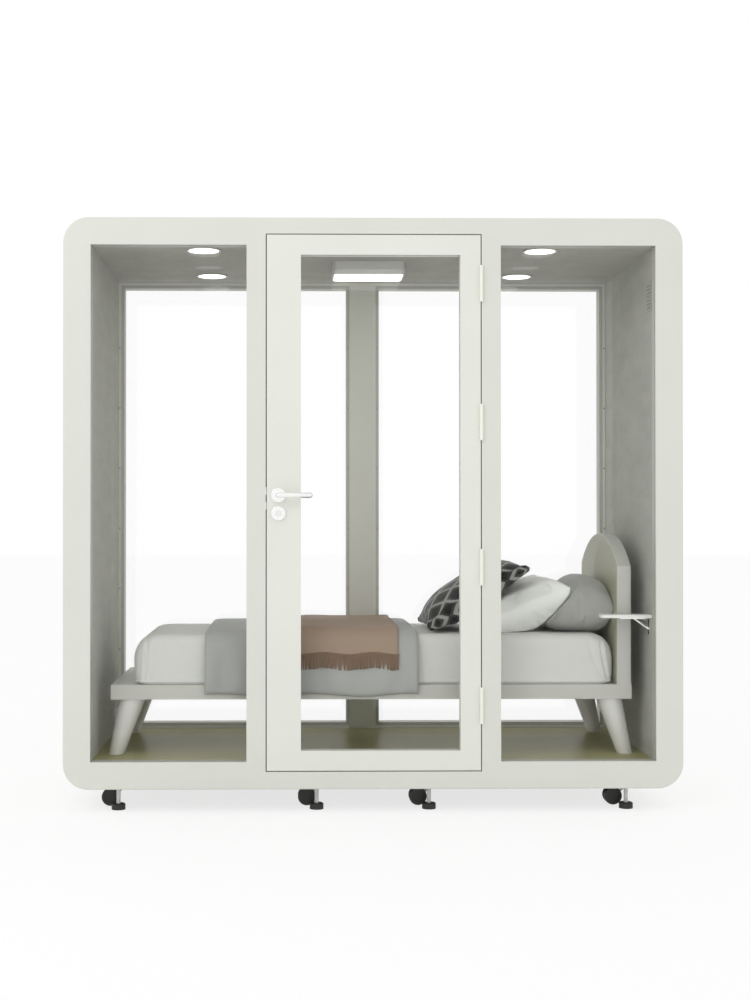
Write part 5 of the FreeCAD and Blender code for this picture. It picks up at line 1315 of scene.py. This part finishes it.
def screw_heads(places, radius):
    """Domed heads that face -y: rings of radius r * cos b at height 0.45 * r * sin b, b from rim to crown.

    A first ring without radius closes the foot.
    """
    b = np.concatenate([[0.0], np.linspace(0.0, math.pi / 2, DOME_RINGS)])
    radii = np.cos(b) * radius
    radii[0] = 0.0
    return turned_copies(places, radii, -DOME_RISE * radius * np.sin(b), SCREW_SIDES, ABOUT_Y)


class BOOTH_OT_screws(BoothOperator, bpy.types.Operator):
    """Small screws up the trims of the back windows."""

    bl_idname = "booth.screws"
    bl_label = "Trim screws"

    def execute(self, context):
        spacing = sizes().screw_spacing
        frame_low, frame_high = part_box("back_frame")
        middle = (frame_low.x + frame_high.x) / 2
        columns = (
            BEADS_LOW.x + BEAD_WIDTH - BEAD_INSET,
            middle - POST_HALF + BEAD_INSET,
            middle + POST_HALF - BEAD_INSET,
            BEADS_HIGH.x - BEAD_WIDTH + BEAD_INSET,
        )
        rows = int((BEADS_HIGH.z - BEADS_LOW.z - SCREWS_FREE) / spacing) + 1
        heights = BEADS_LOW.z + FIRST_SCREW + spacing * np.arange(rows)
        places = [(x, frame_low.y, z) for x in columns for z in heights]
        points, quads = screw_heads(places, sizes().screw_radius)
        steel = metal("screw_steel", colours().screw, 0.4, SCRATCH_X)
        piece = mesh_piece("trim_screws", points, quads, steel, None, SEAM)
        ride_booth(piece, "lock_steel")
        return {"FINISHED"}


def lip_beads(places, radius, half_length):
    """Upright beads with round ends: at each place, rings of radius r * cos b stacked along z.

    b runs from one pole to the other; each half sphere is moved out along z by the straight half length.
    """
    b = np.linspace(-math.pi / 2, math.pi / 2, LIP_RINGS)
    radii = radius * np.cos(b)
    radii[[0, -1]] = 0.0
    return turned_copies(places, radii, radius * np.sin(b) + half_length * np.sign(b), LIP_SIDES, ABOUT_Z)


class BOOTH_OT_strike_lips(BoothOperator, bpy.types.Operator):
    """Bright lips of the strike on the frame's edge, beside the latch and the dead bolt."""

    bl_idname = "booth.strike_lips"
    bl_label = "Strike lips"

    def execute(self, context):
        radius = sizes().lip_radius
        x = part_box("strike_plate")[1].x + LIP_FROM_EDGE * radius
        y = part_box("door_frame")[0].y + LIP_BEHIND_FACE * radius
        heights = [sum(corner.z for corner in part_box(bolt)) / 2 for bolt in ("latch_bolt", "dead_bolt")]
        places = [(x, y, height) for height in heights]
        points, quads = lip_beads(places, radius, sizes().lip_length / 2 - radius)
        piece = mesh_piece("strike_lips", points, quads, finish("satin_white_metal"), None, SEAM)
        ride_booth(piece, "satin_white_metal")
        return {"FINISHED"}


# Stage
WHITE = (1.0, 1.0, 1.0, 1.0)
CAMERA_PLACE = (-0.327, -6.0718, 1.1302)
CAMERA_TURN_DEGREES = (90.395, 0.0, -0.764)
CAMERA_LENS = 52.2
CAMERA_SHIFT = (0.0633, 0.0098)
FLOOR_HALF = 40.0
# Share of the floor that shows as plain white; the rest takes the light and keeps the shadow
FLOOR_GLOW = 0.75
WORLD_LIGHT = 0.9
KEY_PLACE = (-3.6, -5.2, 4.6)
KEY_AIM = (0.0, 0.0, 1.2)
KEY_SIZE = 3.0
KEY_POWER = 60.0


def seen_ray(tree):
    """1 for rays from the camera, a reflection or glass, 0 for rays that only carry light."""
    path = node(tree, "ShaderNodeLightPath")
    first = math_node(tree, "MAXIMUM", path.outputs["Is Camera Ray"], path.outputs["Is Glossy Ray"])
    return math_node(tree, "MAXIMUM", first, path.outputs["Is Transmission Ray"])


def pale_world():
    """White where it is seen, soft light elsewhere."""
    world = bpy.data.worlds.new("studio")
    bpy.context.scene.world = world
    world.use_nodes = True
    tree = world.node_tree
    tree.nodes.clear()
    light = node(tree, "ShaderNodeBackground", {"Color": WHITE, "Strength": WORLD_LIGHT})
    seen = node(tree, "ShaderNodeBackground", {"Color": WHITE, "Strength": 1.0})
    both = node(tree, "ShaderNodeMixShader", {0: seen_ray(tree), 1: light.outputs[0], 2: seen.outputs[0]})
    node(tree, "ShaderNodeOutputWorld", {"Surface": both.outputs[0]})


def pale_floor():
    """Pale floor that shows almost white and keeps a soft shadow."""
    material = bpy.data.materials.new("studio_floor")
    material.use_nodes = True
    tree = material.node_tree
    tree.nodes.clear()
    matt = node(tree, "ShaderNodeBsdfDiffuse", {"Color": WHITE})
    glow = node(tree, "ShaderNodeEmission", {"Color": WHITE, "Strength": 1.0})
    share = math_node(tree, "MULTIPLY", seen_ray(tree), FLOOR_GLOW)
    both = node(tree, "ShaderNodeMixShader", {0: share, 1: matt.outputs[0], 2: glow.outputs[0]})
    node(tree, "ShaderNodeOutputMaterial", {"Surface": both.outputs[0]})
    corners = np.array([(-1.0, -1.0, 0.0), (1.0, -1.0, 0.0), (1.0, 1.0, 0.0), (-1.0, 1.0, 0.0)])
    floor = mesh_piece("studio_floor", FLOOR_HALF * corners, np.array([[0, 1, 2, 3]]), material)


def soft_lamp(name, place_at, aim, size, energy):
    """Square area lamp that looks at a point."""
    data = bpy.data.lights.new(name, "AREA")
    data.shape = "SQUARE"
    data.size = size
    data.energy = energy
    lamp = bpy.data.objects.new(name, data)
    bpy.context.scene.collection.objects.link(lamp)
    away = np.array(aim) - np.array(place_at)
    lamp.location = place_at
    turn = math.atan2(away[1], away[0])
    dip = math.atan2(away[2], math.hypot(away[0], away[1]))
    lamp.rotation_euler = (math.pi / 2 + dip, 0.0, turn - math.pi / 2)


class BOOTH_OT_stage(BoothOperator, bpy.types.Operator):
    """Pale floor, soft light and the camera."""

    bl_idname = "booth.stage"
    bl_label = "Studio"

    def execute(self, context):
        scene = context.scene
        scene.view_settings.view_transform = "Standard"
        pale_world()
        pale_floor()
        soft_lamp("key_lamp", KEY_PLACE, KEY_AIM, KEY_SIZE, KEY_POWER)
        data = bpy.data.cameras.new("photo_camera")
        data.lens = CAMERA_LENS
        data.shift_x, data.shift_y = CAMERA_SHIFT
        camera = bpy.data.objects.new("photo_camera", data)
        scene.collection.objects.link(camera)
        camera.location = CAMERA_PLACE
        camera.rotation_euler = [math.radians(value) for value in CAMERA_TURN_DEGREES]
        scene.camera = camera
        return {"FINISHED"}


OPERATORS = (
    BOOTH_OT_shell,
    BOOTH_OT_lining,
    BOOTH_OT_glazing,
    BOOTH_OT_door,
    BOOTH_OT_fittings,
    BOOTH_OT_carriers,
    BOOTH_OT_bed,
    BOOTH_OT_mattress,
    BOOTH_OT_blanket,
    BOOTH_OT_throw,
    BOOTH_OT_pillows,
    BOOTH_OT_plaid_cushion,
    BOOTH_OT_screws,
    BOOTH_OT_strike_lips,
    BOOTH_OT_stage,
)


class BOOTH_PT_panel(bpy.types.Panel):
    """Lists the dressing steps and the values that a user may change."""

    bl_idname = "BOOTH_PT_panel"
    bl_label = "Nap Booth"
    bl_space_type = "VIEW_3D"
    bl_region_type = "UI"
    bl_category = "Nap Booth"

    def draw(self, context):
        for operator in OPERATORS:
            self.layout.operator(operator.bl_idname, text=operator.bl_label)
        for group in (context.scene.booth_sizes, context.scene.booth_colours):
            for name in group.bl_rna.properties.keys():
                if name not in ("rna_type", "name"):
                    self.layout.prop(group, name)


CLASSES = (BoothColours, BeddingSizes, *OPERATORS, BOOTH_PT_panel)


def register():
    for item in CLASSES:
        bpy.utils.register_class(item)
    bpy.types.Scene.booth_colours = PointerProperty(type=BoothColours)
    bpy.types.Scene.booth_sizes = PointerProperty(type=BeddingSizes)


def unregister():
    del bpy.types.Scene.booth_sizes
    del bpy.types.Scene.booth_colours
    for item in reversed(CLASSES):
        bpy.utils.unregister_class(item)


def main():
    """Register the classes and run the steps in order."""
    register()
    for operator in OPERATORS:
        group, name = operator.bl_idname.split(".")
        getattr(getattr(bpy.ops, group), name)()


if __name__ == "__main__":
    main()
